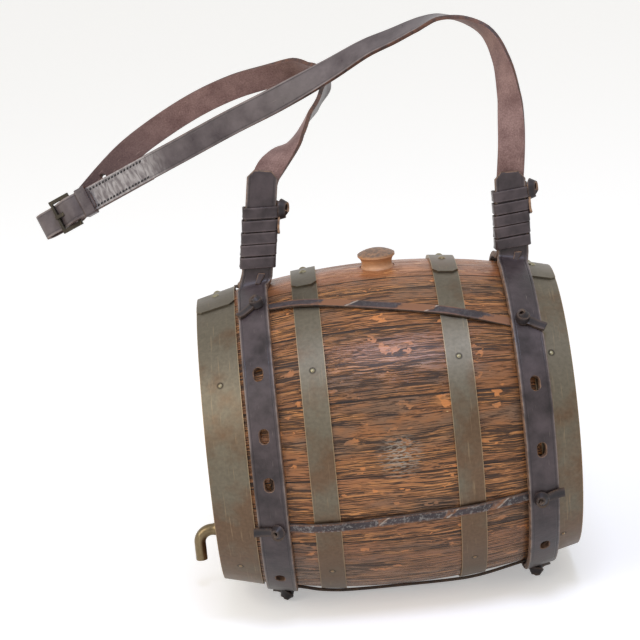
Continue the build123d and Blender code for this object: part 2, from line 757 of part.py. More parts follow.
def lashing_line(side):
    """Points of a lashing's middle line, round its turns, and which way its outer face looks at each."""
    start, pitch, width = bands[side]["lashing"]
    corners = ((-1, 1), (-1, -1), (1, -1), (1, 1))
    flat_points = [(0, front_half, 90)]
    for turn in range(lashing_turns):
        for corner, (corner_x, corner_y) in enumerate(corners):
            for step in corner_steps:
                look = 90 + 90 * corner + step
                reach = lashing_corner / cos(radians(corner_steps[0]))
                x = corner_x * (side_half - lashing_corner) + reach * cos(radians(look))
                y = corner_y * (front_half - lashing_corner) + reach * sin(radians(look))
                flat_points.append((x, y, look))
        flat_points.append((0, front_half, 90))
    runs = [hypot(b[0] - a[0], b[1] - a[1]) for a, b in zip(flat_points, flat_points[1:])]
    rise = lashing_turns * pitch / sum(runs)
    points, normals = [], []
    height = start + width / 2
    for index, (x, y, look) in enumerate(flat_points):
        points.append(stack_point(side, height, y) + stack_across(side) * x)
        normals.append(stack_across(side) * cos(radians(look)) + Vector(0, sin(radians(look)), 0))
        if index < len(runs):
            height += rise * runs[index]
    return points, normals


def lashing_gap(points, normals, width):
    """Least distance between one turn's upper edge and the next turn's lower edge."""
    per_turn = 4 * len(corner_steps) + 1
    edges = []
    for index in range(len(points) - 1):
        heading = (points[index + 1] - points[index]).normalized()
        across = heading.cross(normals[index] + normals[index + 1]).normalized() * (width / 2)
        for share in (0, 0.25, 0.5, 0.75):
            middle = points[index] + (points[index + 1] - points[index]) * share
            edges.append((index, middle - across, middle + across))
    gaps = []
    for index, low, high in edges:
        for other, other_low, other_high in edges:
            if other >= index + per_turn // 2:
                gaps.append(min((low - other_high).length, (high - other_low).length))
    return min(gaps)


for side in bands:
    start, pitch, width = bands[side]["lashing"]
    points, normals = lashing_line(side)
    print(f"lashing {side} least gap to itself {lashing_gap(points, normals, width):.2f} mm")
    lashing_path = strip_sections(points, normals, width, lashing_thickness)
    knot_height_up = start + (lashing_turns - 0.25) * pitch + width / 2
    side_face = stack_point(side, knot_height_up, -1) + stack_across(side) * side_half
    first_turn = stack_point(side, start + pitch / 2, -front_half)
    with BuildPart() as lashing:
        loft(sections=lashing_path, ruled=True)
        with BuildSketch(Plane(origin=side_face, x_dir=(0, 1, 0), z_dir=stack_across(side))):
            RectangleRounded(knot_width, knot_length, knot_round)
        extrude(amount=knot_height + lashing_thickness, taper=12)
        with BuildSketch(Plane(origin=first_turn, x_dir=stack_across(side), z_dir=(0, 1, 0))):
            with Locations((width, 0)):
                Rectangle(tail_width, width)
        extrude(amount=lashing_thickness / 2, both=True)
    keep(lashing, f"lashing_{side}")

# Buckle: its heel bar lies in the fold of the strap, with local x out past the fold and local z to the front
fold_bar = Vector(-206, 117, 145 + axis_height)
buckle_plane = Plane(origin=fold_bar, x_dir=(-0.916, 0.021, -0.400), z_dir=(-0.133, -0.958, 0.254))
buckle_side = Plane(origin=fold_bar, x_dir=buckle_plane.x_dir, z_dir=-buckle_plane.y_dir)
buckle_half = strap_width / 2 + buckle_side_clearance + buckle_wire
prong_clearance = stack_clearance
prong_slot = prong_width + 4 * prong_clearance

# The strap's two routes in the air, as places beside and above the keg's axis and the turn of the leather:
# 0 has its flesh side to the front and 180 its grain. The first places go with the band that holds the strap
buckle_route = (
    (right_band_place + 6, 3, 179, 0), (right_band_place + 8, 11, 197, 20),
    (102, 23, 212, 40), (100, 38, 234, 58), (93, 50, 251, 66),
    (80, 58, 260, 75), (63, 64, 263, 88), (48, 69, 259, 105), (30, 73, 252, 113), (11, 77, 245, 120),
    (-16, 84, 231, 135), (-54, 94, 213, 160), (-88, 104, 198, 175), (-125, 111, 181, 175),
)
billet_route = (
    (left_band_place + 16.5, 5, 177, 0), (left_band_place + 24.5, 11, 186, 40),
    (-44, 29, 195, 90), (-35, 57, 202, 112), (-24, 93, 210, 118),
    (-18, 121, 218, 110), (-22, 140, 225, 80), (-36, 151, 226, 40), (-54, 156, 221, 15), (-83, 158, 215, 5),
    (-114, 157, 204, 0), (-148, 151, 187, -6), (-171, 144, 172, -12),
)
strap_steps = 30


def strap_sections(side, route, end_point, end_across):
    """Sections of the strap: up between the tabs, then along its route to a point in the buckle."""
    foot_height, top_height = bands[side]["foot"][1], bands[side]["back_top"]
    up = stack_up(side)
    points = [stack_point(side, top_height)]
    points += [Vector(x, y, z + axis_height) for x, y, z, twist in route]
    points.append(end_point)
    twists = [0] + [twist for x, y, z, twist in route]
    end_heading = buckle_plane.x_dir
    curve = Spline(*points)
    lengths = [0]
    for before, after in zip(points, points[1:]):
        lengths.append(lengths[-1] + (after - before).length)
    flat = end_heading.cross(Vector(0, 1, 0)).normalized()
    side_on = (Vector(0, 1, 0) - end_heading * end_heading.Y).normalized()
    last_twist = degrees(atan2(end_across.dot(side_on), end_across.dot(flat)))
    twists.append(last_twist)
    sections = []
    for step in range(strap_steps + 1):
        share = step / strap_steps
        point, heading = curve @ share, (curve % share).normalized()
        travelled = share * lengths[-1]
        index = max(i for i, length in enumerate(lengths[:-1]) if length <= travelled + 1e-9)
        part_way = (travelled - lengths[index]) / (lengths[index + 1] - lengths[index])
        twist = radians(twists[index] + (twists[index + 1] - twists[index]) * part_way)
        flat = heading.cross(Vector(0, 1, 0)).normalized()
        side_on = (Vector(0, 1, 0) - heading * heading.Y).normalized()
        across = flat * cos(twist) + side_on * sin(twist)
        if step == 0:
            foot = stack_point(side, foot_height)
            sections.append(section_face(foot, across, up, strap_width, strap_thickness))
        sections.append(section_face(point, across, heading, strap_width, strap_thickness))
    return sections


# Buckle side of the strap: it folds round the heel bar and is stitched down behind itself
fold_start_height = strap_thickness / 2 - prong_clearance
fold_start = buckle_plane.from_local_coords(Vector(-fold_length + strap_thickness, 0, fold_start_height))
buckle_strap_path = strap_sections("right", buckle_route, fold_start, -buckle_plane.y_dir)
with BuildPart() as strap_buckle:
    loft(sections=buckle_strap_path, ruled=True)
    with BuildSketch(buckle_side):
        Rectangle(fold_length, 2 * strap_thickness, align=(Align.MAX, Align.CENTER))
        Circle(fold_eye_radius)
        Circle(buckle_wire + prong_clearance, mode=Mode.SUBTRACT)
    extrude(amount=strap_width / 2, both=True)
    with BuildSketch(buckle_plane):
        Rectangle(3 * fold_eye_radius, prong_slot)
    extrude(amount=2 * fold_eye_radius, both=True, mode=Mode.SUBTRACT)
keep(strap_buckle, "strap_buckle")

# Billet side of the strap: it comes from behind, turns back through the frame and lies under the keeper
billet_line = (
    (-17, 4.6), (-6.5, 4.6), (-1.5, 6), (2.5, 5.75), (11.6, -2.73), (14.2, -3.5), (21.3, -3.5),
    (21.3, -16.7), (2, -16.7),
)
billet_bends = (2, 2, 2, 2, 2, 6.4, 6.4)
billet_inner_end = Vector(billet_line[-1][0] + billet_overlap, 0, billet_line[-1][1])
billet_join = buckle_plane.from_local_coords(billet_inner_end)
billet_path = strap_sections("left", billet_route, billet_join, buckle_plane.y_dir)
with BuildPart() as strap_billet:
    loft(sections=billet_path, ruled=True)
    with BuildSketch(buckle_side):
        with BuildLine() as billet_trace:
            FilletPolyline(*billet_line, radius=billet_bends)
        trace(billet_trace.line, line_width=strap_thickness)
    extrude(amount=strap_width / 2, both=True)
    with BuildSketch(buckle_plane.offset(buckle_wire)):
        Rectangle(buckle_reach, prong_slot, align=(Align.MIN, Align.CENTER))
    extrude(amount=prong_thickness + 2 * prong_clearance, mode=Mode.SUBTRACT)
keep(strap_billet, "strap_billet")

with BuildPart(buckle_plane) as buckle_frame:
    with Locations((buckle_reach / 2, -buckle_half, 0), (buckle_reach / 2, buckle_half, 0)):
        Box(buckle_reach + 2 * buckle_wire, 2 * buckle_wire, 2 * buckle_wire)
    with Locations((0, 0, 0), (buckle_reach, 0, 0)):
        Cylinder(buckle_wire, 2 * buckle_half, rotation=(90, 0, 0))
keep(buckle_frame, "buckle_frame")

with BuildPart() as buckle_prong:
    with BuildSketch(buckle_side):
        Circle(buckle_wire + prong_clearance + prong_thickness)
        with Locations((0, buckle_wire + prong_clearance)):
            Rectangle(buckle_reach + buckle_wire, prong_thickness, align=(Align.MIN, Align.MIN))
        Circle(buckle_wire + prong_clearance, mode=Mode.SUBTRACT)
    extrude(amount=prong_width / 2, both=True)
keep(buckle_prong, "buckle_prong")

# Keeper: a leather loop round the folded strap and the billet's tip
keeper_low = -strap_thickness - stack_clearance
keeper_high = billet_line[0][1] + strap_thickness / 2 + stack_clearance
keeper_plane = Plane(
    origin=buckle_plane.from_local_coords(Vector(keeper_start, 0, (keeper_low + keeper_high) / 2)),
    x_dir=buckle_plane.y_dir, z_dir=buckle_plane.x_dir,
)
with BuildPart() as strap_keeper:
    with BuildSketch(keeper_plane):
        keeper_inside = (strap_width + 2 * stack_clearance, keeper_high - keeper_low)
        RectangleRounded(
            keeper_inside[0] + 2 * keeper_thickness, keeper_inside[1] + 2 * keeper_thickness, keeper_thickness
        )
        Rectangle(*keeper_inside, mode=Mode.SUBTRACT)
    extrude(amount=keeper_width)
keep(strap_keeper, "strap_keeper")
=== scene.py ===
import math
from functools import partial

import bpy
from mathutils import Matrix, Quaternion, Vector, geometry


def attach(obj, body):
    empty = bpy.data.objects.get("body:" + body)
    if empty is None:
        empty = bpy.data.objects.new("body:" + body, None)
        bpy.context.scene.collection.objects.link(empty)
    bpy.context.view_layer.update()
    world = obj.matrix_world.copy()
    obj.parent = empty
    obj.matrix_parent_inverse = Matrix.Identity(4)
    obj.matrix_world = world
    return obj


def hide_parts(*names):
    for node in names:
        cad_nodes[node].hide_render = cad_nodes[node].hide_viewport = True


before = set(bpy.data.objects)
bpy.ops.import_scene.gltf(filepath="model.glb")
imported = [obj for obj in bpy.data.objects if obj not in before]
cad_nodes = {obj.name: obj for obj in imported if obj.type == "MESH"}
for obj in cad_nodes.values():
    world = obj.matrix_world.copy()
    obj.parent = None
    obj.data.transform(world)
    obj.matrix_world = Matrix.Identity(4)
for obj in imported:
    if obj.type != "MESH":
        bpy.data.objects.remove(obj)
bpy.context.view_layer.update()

# Room, floor, window and camera
# The keg lies on a plain pale floor in a bright room, under one soft window high in front of it. It is seen
# through a long lens from the front and a little above, with the frame tilted a few degrees.
mm = 0.001
axis_height = 109.4 * mm
keg_middle = Vector((0, 0, axis_height))
camera_place = keg_middle + Vector((-46, -1432.3, 465.4)) * mm
camera_target = keg_middle + Vector((-38.6, 0, 76.4)) * mm
camera_roll = math.radians(-5.64)
focal_pixels = 2200
view_depth = 60
frame_pixels = 640
sensor_width = 36
room_strength = 0.58
window_elevation = math.radians(64)
window_side = 0.07
window_distance = 1.6
window_size = (0.5, 0.4)
window_power = 11
fill_place = Vector((-1.4, -0.9, 1.1))
fill_size = (1.2, 1.2)
fill_power = 14
floor_size = 16
floor_lift = 0.38


def srgb(text):
    """Linear colour of an sRGB hex value."""
    parts = [int(text[start : start + 2], 16) / 255 for start in (1, 3, 5)]
    linear = [part / 12.92 if part <= 0.04045 else ((part + 0.055) / 1.055) ** 2.4 for part in parts]
    return (*linear, 1)


def feed(node, inputs):
    """Set a node's inputs, or link the sockets that feed them. A tuple stands for its first inputs, in order."""
    for name, value in inputs.items() if isinstance(inputs, dict) else enumerate(inputs):
        if isinstance(value, bpy.types.NodeSocket):
            node.id_data.links.new(value, node.inputs[name])
        else:
            node.inputs[name].default_value = value


def add_node(tree, kind, inputs=(), output=0, **settings):
    """Add a shader node with its settings and links, and return one of its outputs."""
    node = tree.nodes.new("ShaderNode" + kind)
    for name, value in settings.items():
        setattr(node, name, value)
    feed(node, inputs)
    return node.outputs[output]


def new_material(name):
    """Empty material, the function that adds a node to it, and its main shader."""
    material = bpy.data.materials.new(name)
    material.use_nodes = True
    return material, partial(add_node, material.node_tree), material.node_tree.nodes["Principled BSDF"]


def seen_or_mirrored(add):
    """1 for what the camera sees straight, mirrored or through glass, and 0 for light that falls on things."""
    rays = add("LightPath").node.outputs
    seen = add("Math", (rays["Is Camera Ray"], rays["Is Glossy Ray"]), operation="MAXIMUM")
    return add("Math", (seen, rays["Is Transmission Ray"]), operation="MAXIMUM")


bpy.ops.object.select_all(action="DESELECT")
bpy.ops.object.camera_add(location=camera_place)
camera = bpy.context.object
camera_aim = (camera_target - camera_place).to_track_quat("-Z", "Y")
camera.rotation_euler = (camera_aim @ Quaternion((0, 0, 1), camera_roll)).to_euler()
camera.data.sensor_width = sensor_width
camera.data.lens = focal_pixels / frame_pixels * sensor_width
camera.data.clip_end = view_depth
bpy.context.scene.camera = camera
bpy.context.scene.view_settings.view_transform = "Standard"

window_turn = Vector((window_side, -math.cos(window_elevation), math.sin(window_elevation))).normalized()
window_place = keg_middle + window_turn * window_distance
for light_name, light_place, size, power, tint in (
    ("window", window_place, window_size, window_power, "#ccdaff"),
    ("side fill", fill_place, fill_size, fill_power, "#fff8ee"),
):
    bpy.ops.object.light_add(type="AREA", location=light_place)
    lamp = bpy.context.object
    lamp.name = light_name
    lamp.rotation_euler = (keg_middle - light_place).to_track_quat("-Z", "Y").to_euler()
    lamp.data.shape = "RECTANGLE"
    lamp.data.size, lamp.data.size_y = size
    lamp.data.energy = power
    lamp.data.color = srgb(tint)[:3]

room = bpy.data.worlds.new("bright room")
room.use_nodes = True
bpy.context.scene.world = room
add = partial(add_node, room.node_tree)
room_light = add("Background", (srgb("#f6f5f2"), room_strength))
room_white = add("Background", ((1, 1, 1, 1), 1))
room_seen = add("MixShader", (seen_or_mirrored(add), room_light, room_white))
feed(room.node_tree.nodes["World Output"], {"Surface": room_seen})

# Matt white paint: nearly white, with no shine, so that the keg's shadow is all that shows on it.
bpy.ops.mesh.primitive_plane_add(size=floor_size)
floor = bpy.context.object
floor.name = "floor"
floor_paint, add, shader = new_material("matt white floor paint")
floor_glow = add("Math", (seen_or_mirrored(add), floor_lift), operation="MULTIPLY")
feed(shader, {"Base Color": srgb("#f4f3f1"), "Roughness": 0.9})
feed(shader, {"Emission Color": (1, 1, 1, 1), "Emission Strength": floor_glow})
floor.data.materials.append(floor_paint)

# Staves and heads
# Fourteen quarter-sawn oak staves, shaved round and oiled dark, with deep open pores and pale ray flecks. The one
# that holds the bung was planed smooth and is lighter. Each head is three plainer oak boards held by the staves.
stave_count = 14
keg_length = 240 * mm
belly_radius = 110 * mm
end_radius = 93.5 * mm
stave_bow = belly_radius - end_radius
bilge_radius = ((keg_length / 2) ** 2 + stave_bow**2) / (2 * stave_bow)
oak_patterns = {
    "growth": (70 * mm, 10 * mm, 3, 0.5),
    "pores": (34 * mm, 0.8 * mm, 2, 0.6),
    "fine pores": (15 * mm, 0.5 * mm, 2, 0.6),
    "flecks": (15 * mm, 8 * mm, 4, 0.55),
    "smudges": (60 * mm, 20 * mm, 4, 0.6),
    "fibres": (9 * mm, 0.5 * mm, 3, 0.5),
    "nicks": (3.52 * mm, 2.2 * mm, 2, 0.5),
    "speckle": (3 * mm, 0.8 * mm, 3, 0.5),
}
grain_waves_per_metre = (22, 60, 60)
grain_wander = 5 * mm
board_spacing = (0.37, 0.113, 0.171)
pore_depth = 0.5 * mm
seam_half_width = 0.4 * mm
seam_radius = 108 * mm
worn_patch_turn = math.radians(6)
worn_patch_out = Vector((0, -math.cos(worn_patch_turn), math.sin(worn_patch_turn)))
worn_patch = keg_middle + worn_patch_out * belly_radius + Vector((3 * mm, 0, 0))
worn_patch_reach = (3 * mm, 17 * mm)
along_keg = (0, 0, 0)
up_head = (0, math.radians(90), 0)


def oak(name, ground, warm, fleck, pore, smudge, seed, turn=along_keg, openness=1.0, tone=1.0, stave=False):
    """Oiled oak with a soft shine. Dark pores run with the grain, and stop at the pale flecks. On a stave the grain
    bends as the wood does, and the seams are dark. openness 0 is planed smooth, and seed picks the board."""
    material, add, shader = new_material(name)
    place = add("TexCoord", output="Object")
    if stave:
        from_axis = add("VectorMath", (place, keg_middle), operation="SUBTRACT")
        sides = add("SeparateXYZ", (from_axis,)).node.outputs
        spoke = add("VectorMath", (from_axis, (0, 1, 1)), operation="MULTIPLY")
        radius = add("VectorMath", (spoke,), "Value", operation="LENGTH")
        sunk = add("Math", (sides["X"], sides["X"]), operation="MULTIPLY")
        sunk = add("Math", (sunk, 1 / (2 * bilge_radius)), operation="MULTIPLY")
        sunk = add("Math", (sunk, radius), operation="DIVIDE")
        unbent = add("VectorMath", {0: spoke, "Scale": sunk}, operation="SCALE")
        place = add("VectorMath", (place, unbent), operation="ADD")
    board_place = [seed * spacing for spacing in board_spacing]
    board = add("Mapping", {"Vector": place, "Location": board_place, "Rotation": turn})
    wander = add("Mapping", {"Vector": board, "Scale": grain_waves_per_metre})
    wander = add("TexNoise", {"Vector": wander, "Scale": 1, "Detail": 2}, "Color")
    grain = add("VectorMath", (wander, (0, grain_wander, grain_wander), board), operation="MULTIPLY_ADD")
    patterns, masks = {}, {}
    for pattern, (length, width, detail, roughness) in oak_patterns.items():
        drawn_out = add("Mapping", {"Vector": grain, "Scale": (1 / length, 1 / width, 1 / width)})
        noise = {"Vector": drawn_out, "Scale": 1, "Detail": detail, "Roughness": roughness}
        patterns[pattern] = add("TexNoise", noise)
    for pattern, growth_share, low, high, most in (
        ("growth", 0, 0.38, 0.62, 1),
        ("pores", 0.42, 0.755 - 0.06 * openness, 0.79, 1),
        ("fine pores", 0.22, 0.66, 0.72, 0.75),
        ("flecks", 0, 0.63, 0.65, 1),
        ("smudges", 0, 0.46, 0.66, 0.7),
        ("nicks", 0, 0.79, 0.81, 0.8),
        ("speckle", 0, 0.44, 0.6, 1),
    ):
        value = add("Math", (patterns["growth"], growth_share, patterns[pattern]), operation="MULTIPLY_ADD")
        masks[pattern] = add("MapRange", (value, low, high, 0, most), interpolation_type="SMOOTHSTEP")

    depth = add("Math", (masks["pores"], masks["fine pores"]), operation="MAXIMUM")
    open_wood = add("Math", (masks["flecks"], -0.9, 1), operation="MULTIPLY_ADD")
    depth = add("Math", (depth, open_wood), operation="MULTIPLY")
    pore_share = add("Math", (depth, 0.5 + 0.42 * openness), operation="MULTIPLY")
    fibre_tone = add("MapRange", (patterns["fibres"], 0.3, 0.7, 0.84 * tone, 1.16 * tone))
    bare = [(masks["growth"], warm), (masks["flecks"], fleck), (masks["smudges"], smudge)]
    marks = [(pore_share, pore), (masks["nicks"], "#d8b27a")]
    if stave:
        angle = add("Math", (sides["Y"], sides["Z"]), operation="ARCTAN2")
        staves = add("Math", (angle, stave_count / math.tau), operation="MULTIPLY")
        from_middle = add("Math", (staves, 0.5), operation="PINGPONG")
        seam_share = seam_half_width / (math.tau * seam_radius / stave_count)
        seam_range = (from_middle, 0.5 - 2 * seam_share, 0.5 - seam_share)
        seam = add("MapRange", seam_range, interpolation_type="SMOOTHSTEP")
        depth = add("Math", (depth, seam), operation="MAXIMUM")
        off_patch = add("VectorMath", (place, worn_patch), "Value", operation="DISTANCE")
        patch = add("MapRange", (off_patch, *worn_patch_reach, 0.8, 0))
        seam = add("Math", (seam, 0.85), operation="MULTIPLY")
        patch = add("Math", (patch, masks["speckle"]), operation="MULTIPLY")
        marks += [(seam, "#140d09"), (patch, "#aba08f")]
    wood = srgb(ground)
    for share, colour in bare:
        wood = add("Mix", {0: share, 6: wood, 7: srgb(colour)}, 2, data_type="RGBA")
    wood = add("VectorMath", {0: wood, "Scale": fibre_tone}, operation="SCALE")
    for share, colour in marks:
        wood = add("Mix", {0: share, 6: wood, 7: srgb(colour)}, 2, data_type="RGBA")
    gloss = add("MapRange", (depth, 0, 1, 0.3, 0.65))
    height = add("Math", (patterns["fibres"], 0.3), operation="MULTIPLY")
    height = add("Math", (height, depth), operation="SUBTRACT")
    relief = add("Bump", {"Height": height, "Strength": 0.6 * openness + 0.12, "Distance": pore_depth})
    feed(shader, {"Base Color": wood, "Roughness": gloss, "Normal": relief})
    feed(shader, {"Specular IOR Level": 0.32, "Coat Weight": 0.14, "Coat Roughness": 0.24})
    return material


def dress(node, material):
    """Give a CAD piece its finish."""
    piece = cad_nodes[node]
    piece.data.materials.clear()
    piece.data.materials.append(material)


planed_colours = ("#a5653a", "#bd7c4a", "#c0824e", "#4a2c1c", "#7d5436")
open_colours = ("#9a643a", "#bd8049", "#c67e44", "#211611", "#6a5644")
head_colours = ("#7a4a28", "#93592f", "#a2683c", "#2b1a11", "#4d382c")
dowel_colours = ("#b8946a", "#c4a27a", "#ccb089", "#8a6a48", "#a88a66")
dress("stave_01", oak("planed oiled oak", *planed_colours, 1, openness=0.3, stave=True))
for number in range(2, stave_count + 1):
    stave_tone = 0.8 + 0.36 * (number * 0.618 % 1)
    stave_title = f"open-grained oiled oak {number:02d}"
    dress(f"stave_{number:02d}", oak(stave_title, *open_colours, number, tone=stave_tone, stave=True))
for side_number, side in enumerate(("left", "right")):
    for number in (1, 2, 3):
        seed = 20 + 3 * side_number + number
        head_wood = oak(f"oiled oak head {side} {number}", *head_colours, seed, turn=up_head, openness=0.7)
        dress(f"head_{side}_{number}", head_wood)
dress("head_dowels", oak("raw beech dowel", *dowel_colours, 31, openness=0.1))

# Hoops with their rivets and nails
# Strips of sheet brass bent round the staves, lapped on top and riveted, with a few small nails. They are
# tarnished olive and brown, more olive towards the top, partly as a painted reflection of the bright room above.
# Their edges are painted pale, partly as wear and partly as a painted highlight, and the metal is darker in a
# ring round each nail. They are dull to the touch.
hoop_places = {
    "hoop_left_end": (-107 * mm, 26 * mm),
    "hoop_left_quarter": (-47 * mm, 17 * mm),
    "hoop_right_quarter": (47 * mm, 17 * mm),
    "hoop_right_end": (107 * mm, 26 * mm),
}
hoop_thickness = 1.2 * mm
nail_angles = (38, 136, 226, 318)
nail_head_radius = 1.4 * mm
edge_wear_and_glint_width = 0.5 * mm
tarnish_patch = 30 * mm
tarnish_speck = 2.2 * mm
olive_and_reflection_heights = (50 * mm, 200 * mm)
rub_size = (1.2 * mm, 26 * mm)


def aged_brass(name, olive, brown, bright, strip=None, rub=0.25, roughness=0.42):
    """Tarnished brass, which looks olive above, brown below and dull, with pale rubs. The olive share rising with
    height is partly a painted reflection of the room above. strip is a hoop's place and width: its edges are
    painted pale, partly as wear and partly as a painted highlight, and the metal is darker in a ring round its
    nails."""
    material, add, shader = new_material(name)
    place = add("TexCoord", output="Object")
    patches = {"Vector": place, "Scale": 1 / tarnish_patch, "Detail": 4, "Roughness": 0.6}
    patches = add("TexNoise", patches)
    specks = add("TexNoise", {"Vector": place, "Scale": 1 / tarnish_speck, "Detail": 2})
    rub_rate = (1 / rub_size[0], 1 / rub_size[1], 1 / rub_size[1])
    rubs = add("Mapping", {"Vector": place, "Scale": rub_rate})
    rubs = add("TexNoise", {"Vector": rubs, "Scale": 1, "Detail": 3})
    sides = add("SeparateXYZ", (place,)).node.outputs
    # Olive share rising with height: partly tarnish, partly a painted reflection of the bright room above.
    olive_tarnish_and_sky_reflection = add("MapRange", (sides["Z"], *olive_and_reflection_heights, -0.1, 0.14))
    share = add("Math", (patches, olive_tarnish_and_sky_reflection), operation="ADD")
    share = add("MapRange", (share, 0.4, 0.62))
    metal = add("Mix", {0: share, 6: srgb(brown), 7: srgb(olive)}, 2, data_type="RGBA")
    mottle = add("MapRange", (specks, 0.3, 0.75, 0.88, 1.1))
    metal = add("VectorMath", {0: metal, "Scale": mottle}, operation="SCALE")
    worn = add("MapRange", (rubs, 0.62, 0.75, 0, rub))
    if strip:
        middle, width = strip
        off_middle = add("Math", (sides["X"], middle), operation="SUBTRACT")
        off_middle = add("Math", (off_middle,), operation="ABSOLUTE")
        # Pale line along each edge: partly wear, partly a painted highlight where the edge catches the light.
        edge_range = (width / 2 - edge_wear_and_glint_width, width / 2 - edge_wear_and_glint_width / 3)
        hoop_edge_wear_and_glint = add("MapRange", (off_middle, *edge_range, 0, 0.55))
        worn = add("Math", (worn, hoop_edge_wear_and_glint), operation="MAXIMUM")
    metal = add("Mix", {0: worn, 6: metal, 7: srgb(bright)}, 2, data_type="RGBA")
    if strip:
        # The metal is made darker in a ring round each nail.
        nearest_nail = 1.0
        nail_radius = belly_radius - middle**2 / (2 * bilge_radius) + hoop_thickness
        for angle in map(math.radians, nail_angles):
            nail = keg_middle + Vector((middle, -nail_radius * math.cos(angle), nail_radius * math.sin(angle)))
            off_nail = add("VectorMath", (place, nail), "Value", operation="DISTANCE")
            nearest_nail = add("Math", (off_nail, nearest_nail), operation="MINIMUM")
        nail_ring_darkening = add("MapRange", (nearest_nail, 1.1 * nail_head_radius, 2 * nail_head_radius, 0.85, 0))
        metal = add("Mix", {0: nail_ring_darkening, 6: metal, 7: srgb("#1f1a14")}, 2, data_type="RGBA")
    dull = add("MapRange", (patches, 0.3, 0.7, roughness - 0.07, roughness + 0.1))
    relief = add("Bump", {"Height": specks, "Strength": 0.25, "Distance": 0.08 * mm})
    feed(shader, {"Base Color": metal, "Metallic": 0.85, "Roughness": dull, "Normal": relief})
    return material


for node, strip in hoop_places.items():
    hoop_title = "tarnished sheet brass " + node.replace("hoop_", "").replace("_", " ")
    dress(node, aged_brass(hoop_title, "#6b6354", "#665240", "#b39a76", strip=strip))
pin_metal = aged_brass("worn brass pins", "#938b70", "#82694e", "#d6caa4", rub=0.7, roughness=0.33)
dress("hoop_rivets", pin_metal)
dress("hoop_nails", pin_metal)

# Bung
# A turned beech bung, pressed by hand into its hole, with a domed cap and a hollow neck. Its top has gone grey
# and brown from handling, and fine rings are left by the turning tool.
bung_place = 3 * mm
bung_rise = 13 * mm
bung_seat = 0.8 * mm
bung_top = axis_height + belly_radius - bung_seat + bung_rise
cap_edges = (4.2 * mm, 3 * mm)
ring_rate = 1 / (3.52 * mm)
blot_size = 2.6 * mm
beech_waves_per_metre = (90, 620, 620)
bung_wood, add, shader = new_material("turned and handled beech")
bung_coords = add("TexCoord", output="Object")
bung_turned = add("Mapping", {"Vector": bung_coords, "Location": (-bung_place, 0, 0)})
bung_rings = {"Vector": bung_turned, "Scale": ring_rate, "Distortion": 1.5, "Detail": 1}
bung_rings = add("TexWave", bung_rings, "Fac", wave_type="RINGS", rings_direction="Z")
bung_grain = add("Mapping", {"Vector": bung_coords, "Scale": beech_waves_per_metre})
bung_grain = add("TexNoise", {"Vector": bung_grain, "Scale": 1, "Detail": 3})
bung_height = add("SeparateXYZ", (bung_coords,), "Z")
bung_dirt = add("MapRange", (bung_height, bung_top - cap_edges[0], bung_top - cap_edges[1], 0, 0.9))
bung_blots = add("TexNoise", {"Vector": bung_coords, "Scale": 1 / blot_size, "Detail": 4})
bung_blots = add("MapRange", (bung_blots, 0.38, 0.6, 0.55))
bung_dirt = add("Math", (bung_dirt, bung_blots), operation="MULTIPLY")
bung_colour = srgb("#a8744a")
for share, colour in ((bung_grain, "#d6a47a"), (bung_dirt, "#5e5045")):
    bung_colour = add("Mix", {0: share, 6: bung_colour, 7: srgb(colour)}, 2, data_type="RGBA")
bung_tone = add("MapRange", (bung_rings, 0, 1, 0.9, 1.06))
bung_colour = add("VectorMath", {0: bung_colour, "Scale": bung_tone}, operation="SCALE")
bung_gloss = add("MapRange", (bung_grain, 0, 1, 0.42, 0.62))
bung_relief = add("Bump", {"Height": bung_rings, "Strength": 0.2, "Distance": 0.12 * mm})
feed(shader, {"Base Color": bung_colour, "Roughness": bung_gloss, "Normal": bung_relief})
dress("bung", bung_wood)

# Tap and spout
# A turned brass tap is clamped through the head by a back nut, and a bent brass spout swivels on it, held by a
# small steel screw. Cast and turned brass with an even olive tarnish, brighter where hands turn it.
tap_colours = ("#797058", "#725f46", "#ac9d78")
for node in ("tap_body", "tap_nut"):
    dress(node, aged_brass("turned brass " + node.replace("_", " "), *tap_colours, roughness=0.34))
dress("spout", aged_brass("bent brass pipe", "#837960", "#77674c", "#b6a884", rub=0.4, roughness=0.34))
# Zinc plating looks pale grey and even, with a slight mottle and a soft metal shine.
screw_steel, add, shader = new_material("zinc-plated steel screw")
screw_mottle = add("TexNoise", {"Vector": add("TexCoord", output="Object"), "Scale": 1 / (0.6 * mm)})
screw_colour = add("Mix", {0: screw_mottle, 6: srgb("#7d7f80"), 7: srgb("#b4b6b6")}, 2, data_type="RGBA")
feed(shader, {"Base Color": screw_colour, "Metallic": 1, "Roughness": 0.4})
dress("spout_screw", screw_steel)

# Tap washers
# Two greased leather washers seal the tap, one under its collar outside the head and one under its nut inside.
# They are punched from thin belting leather, with their rims slightly rounded by the squeeze.
tap_height = axis_height - 65 * mm
head_outer = 108 * mm
head_inner = 99 * mm
washer_thickness = 1.5 * mm
washer_radius = 10 * mm
washer_hole = 6.06 * mm
washer_rounding = 0.3 * mm
washer_turned = Matrix.Rotation(math.radians(90), 4, "Y")
fuzz_size = 0.9 * mm
stain_size = 13 * mm
scuff_size = (0.8 * mm, 9 * mm)
smooth_angle = math.radians(40)


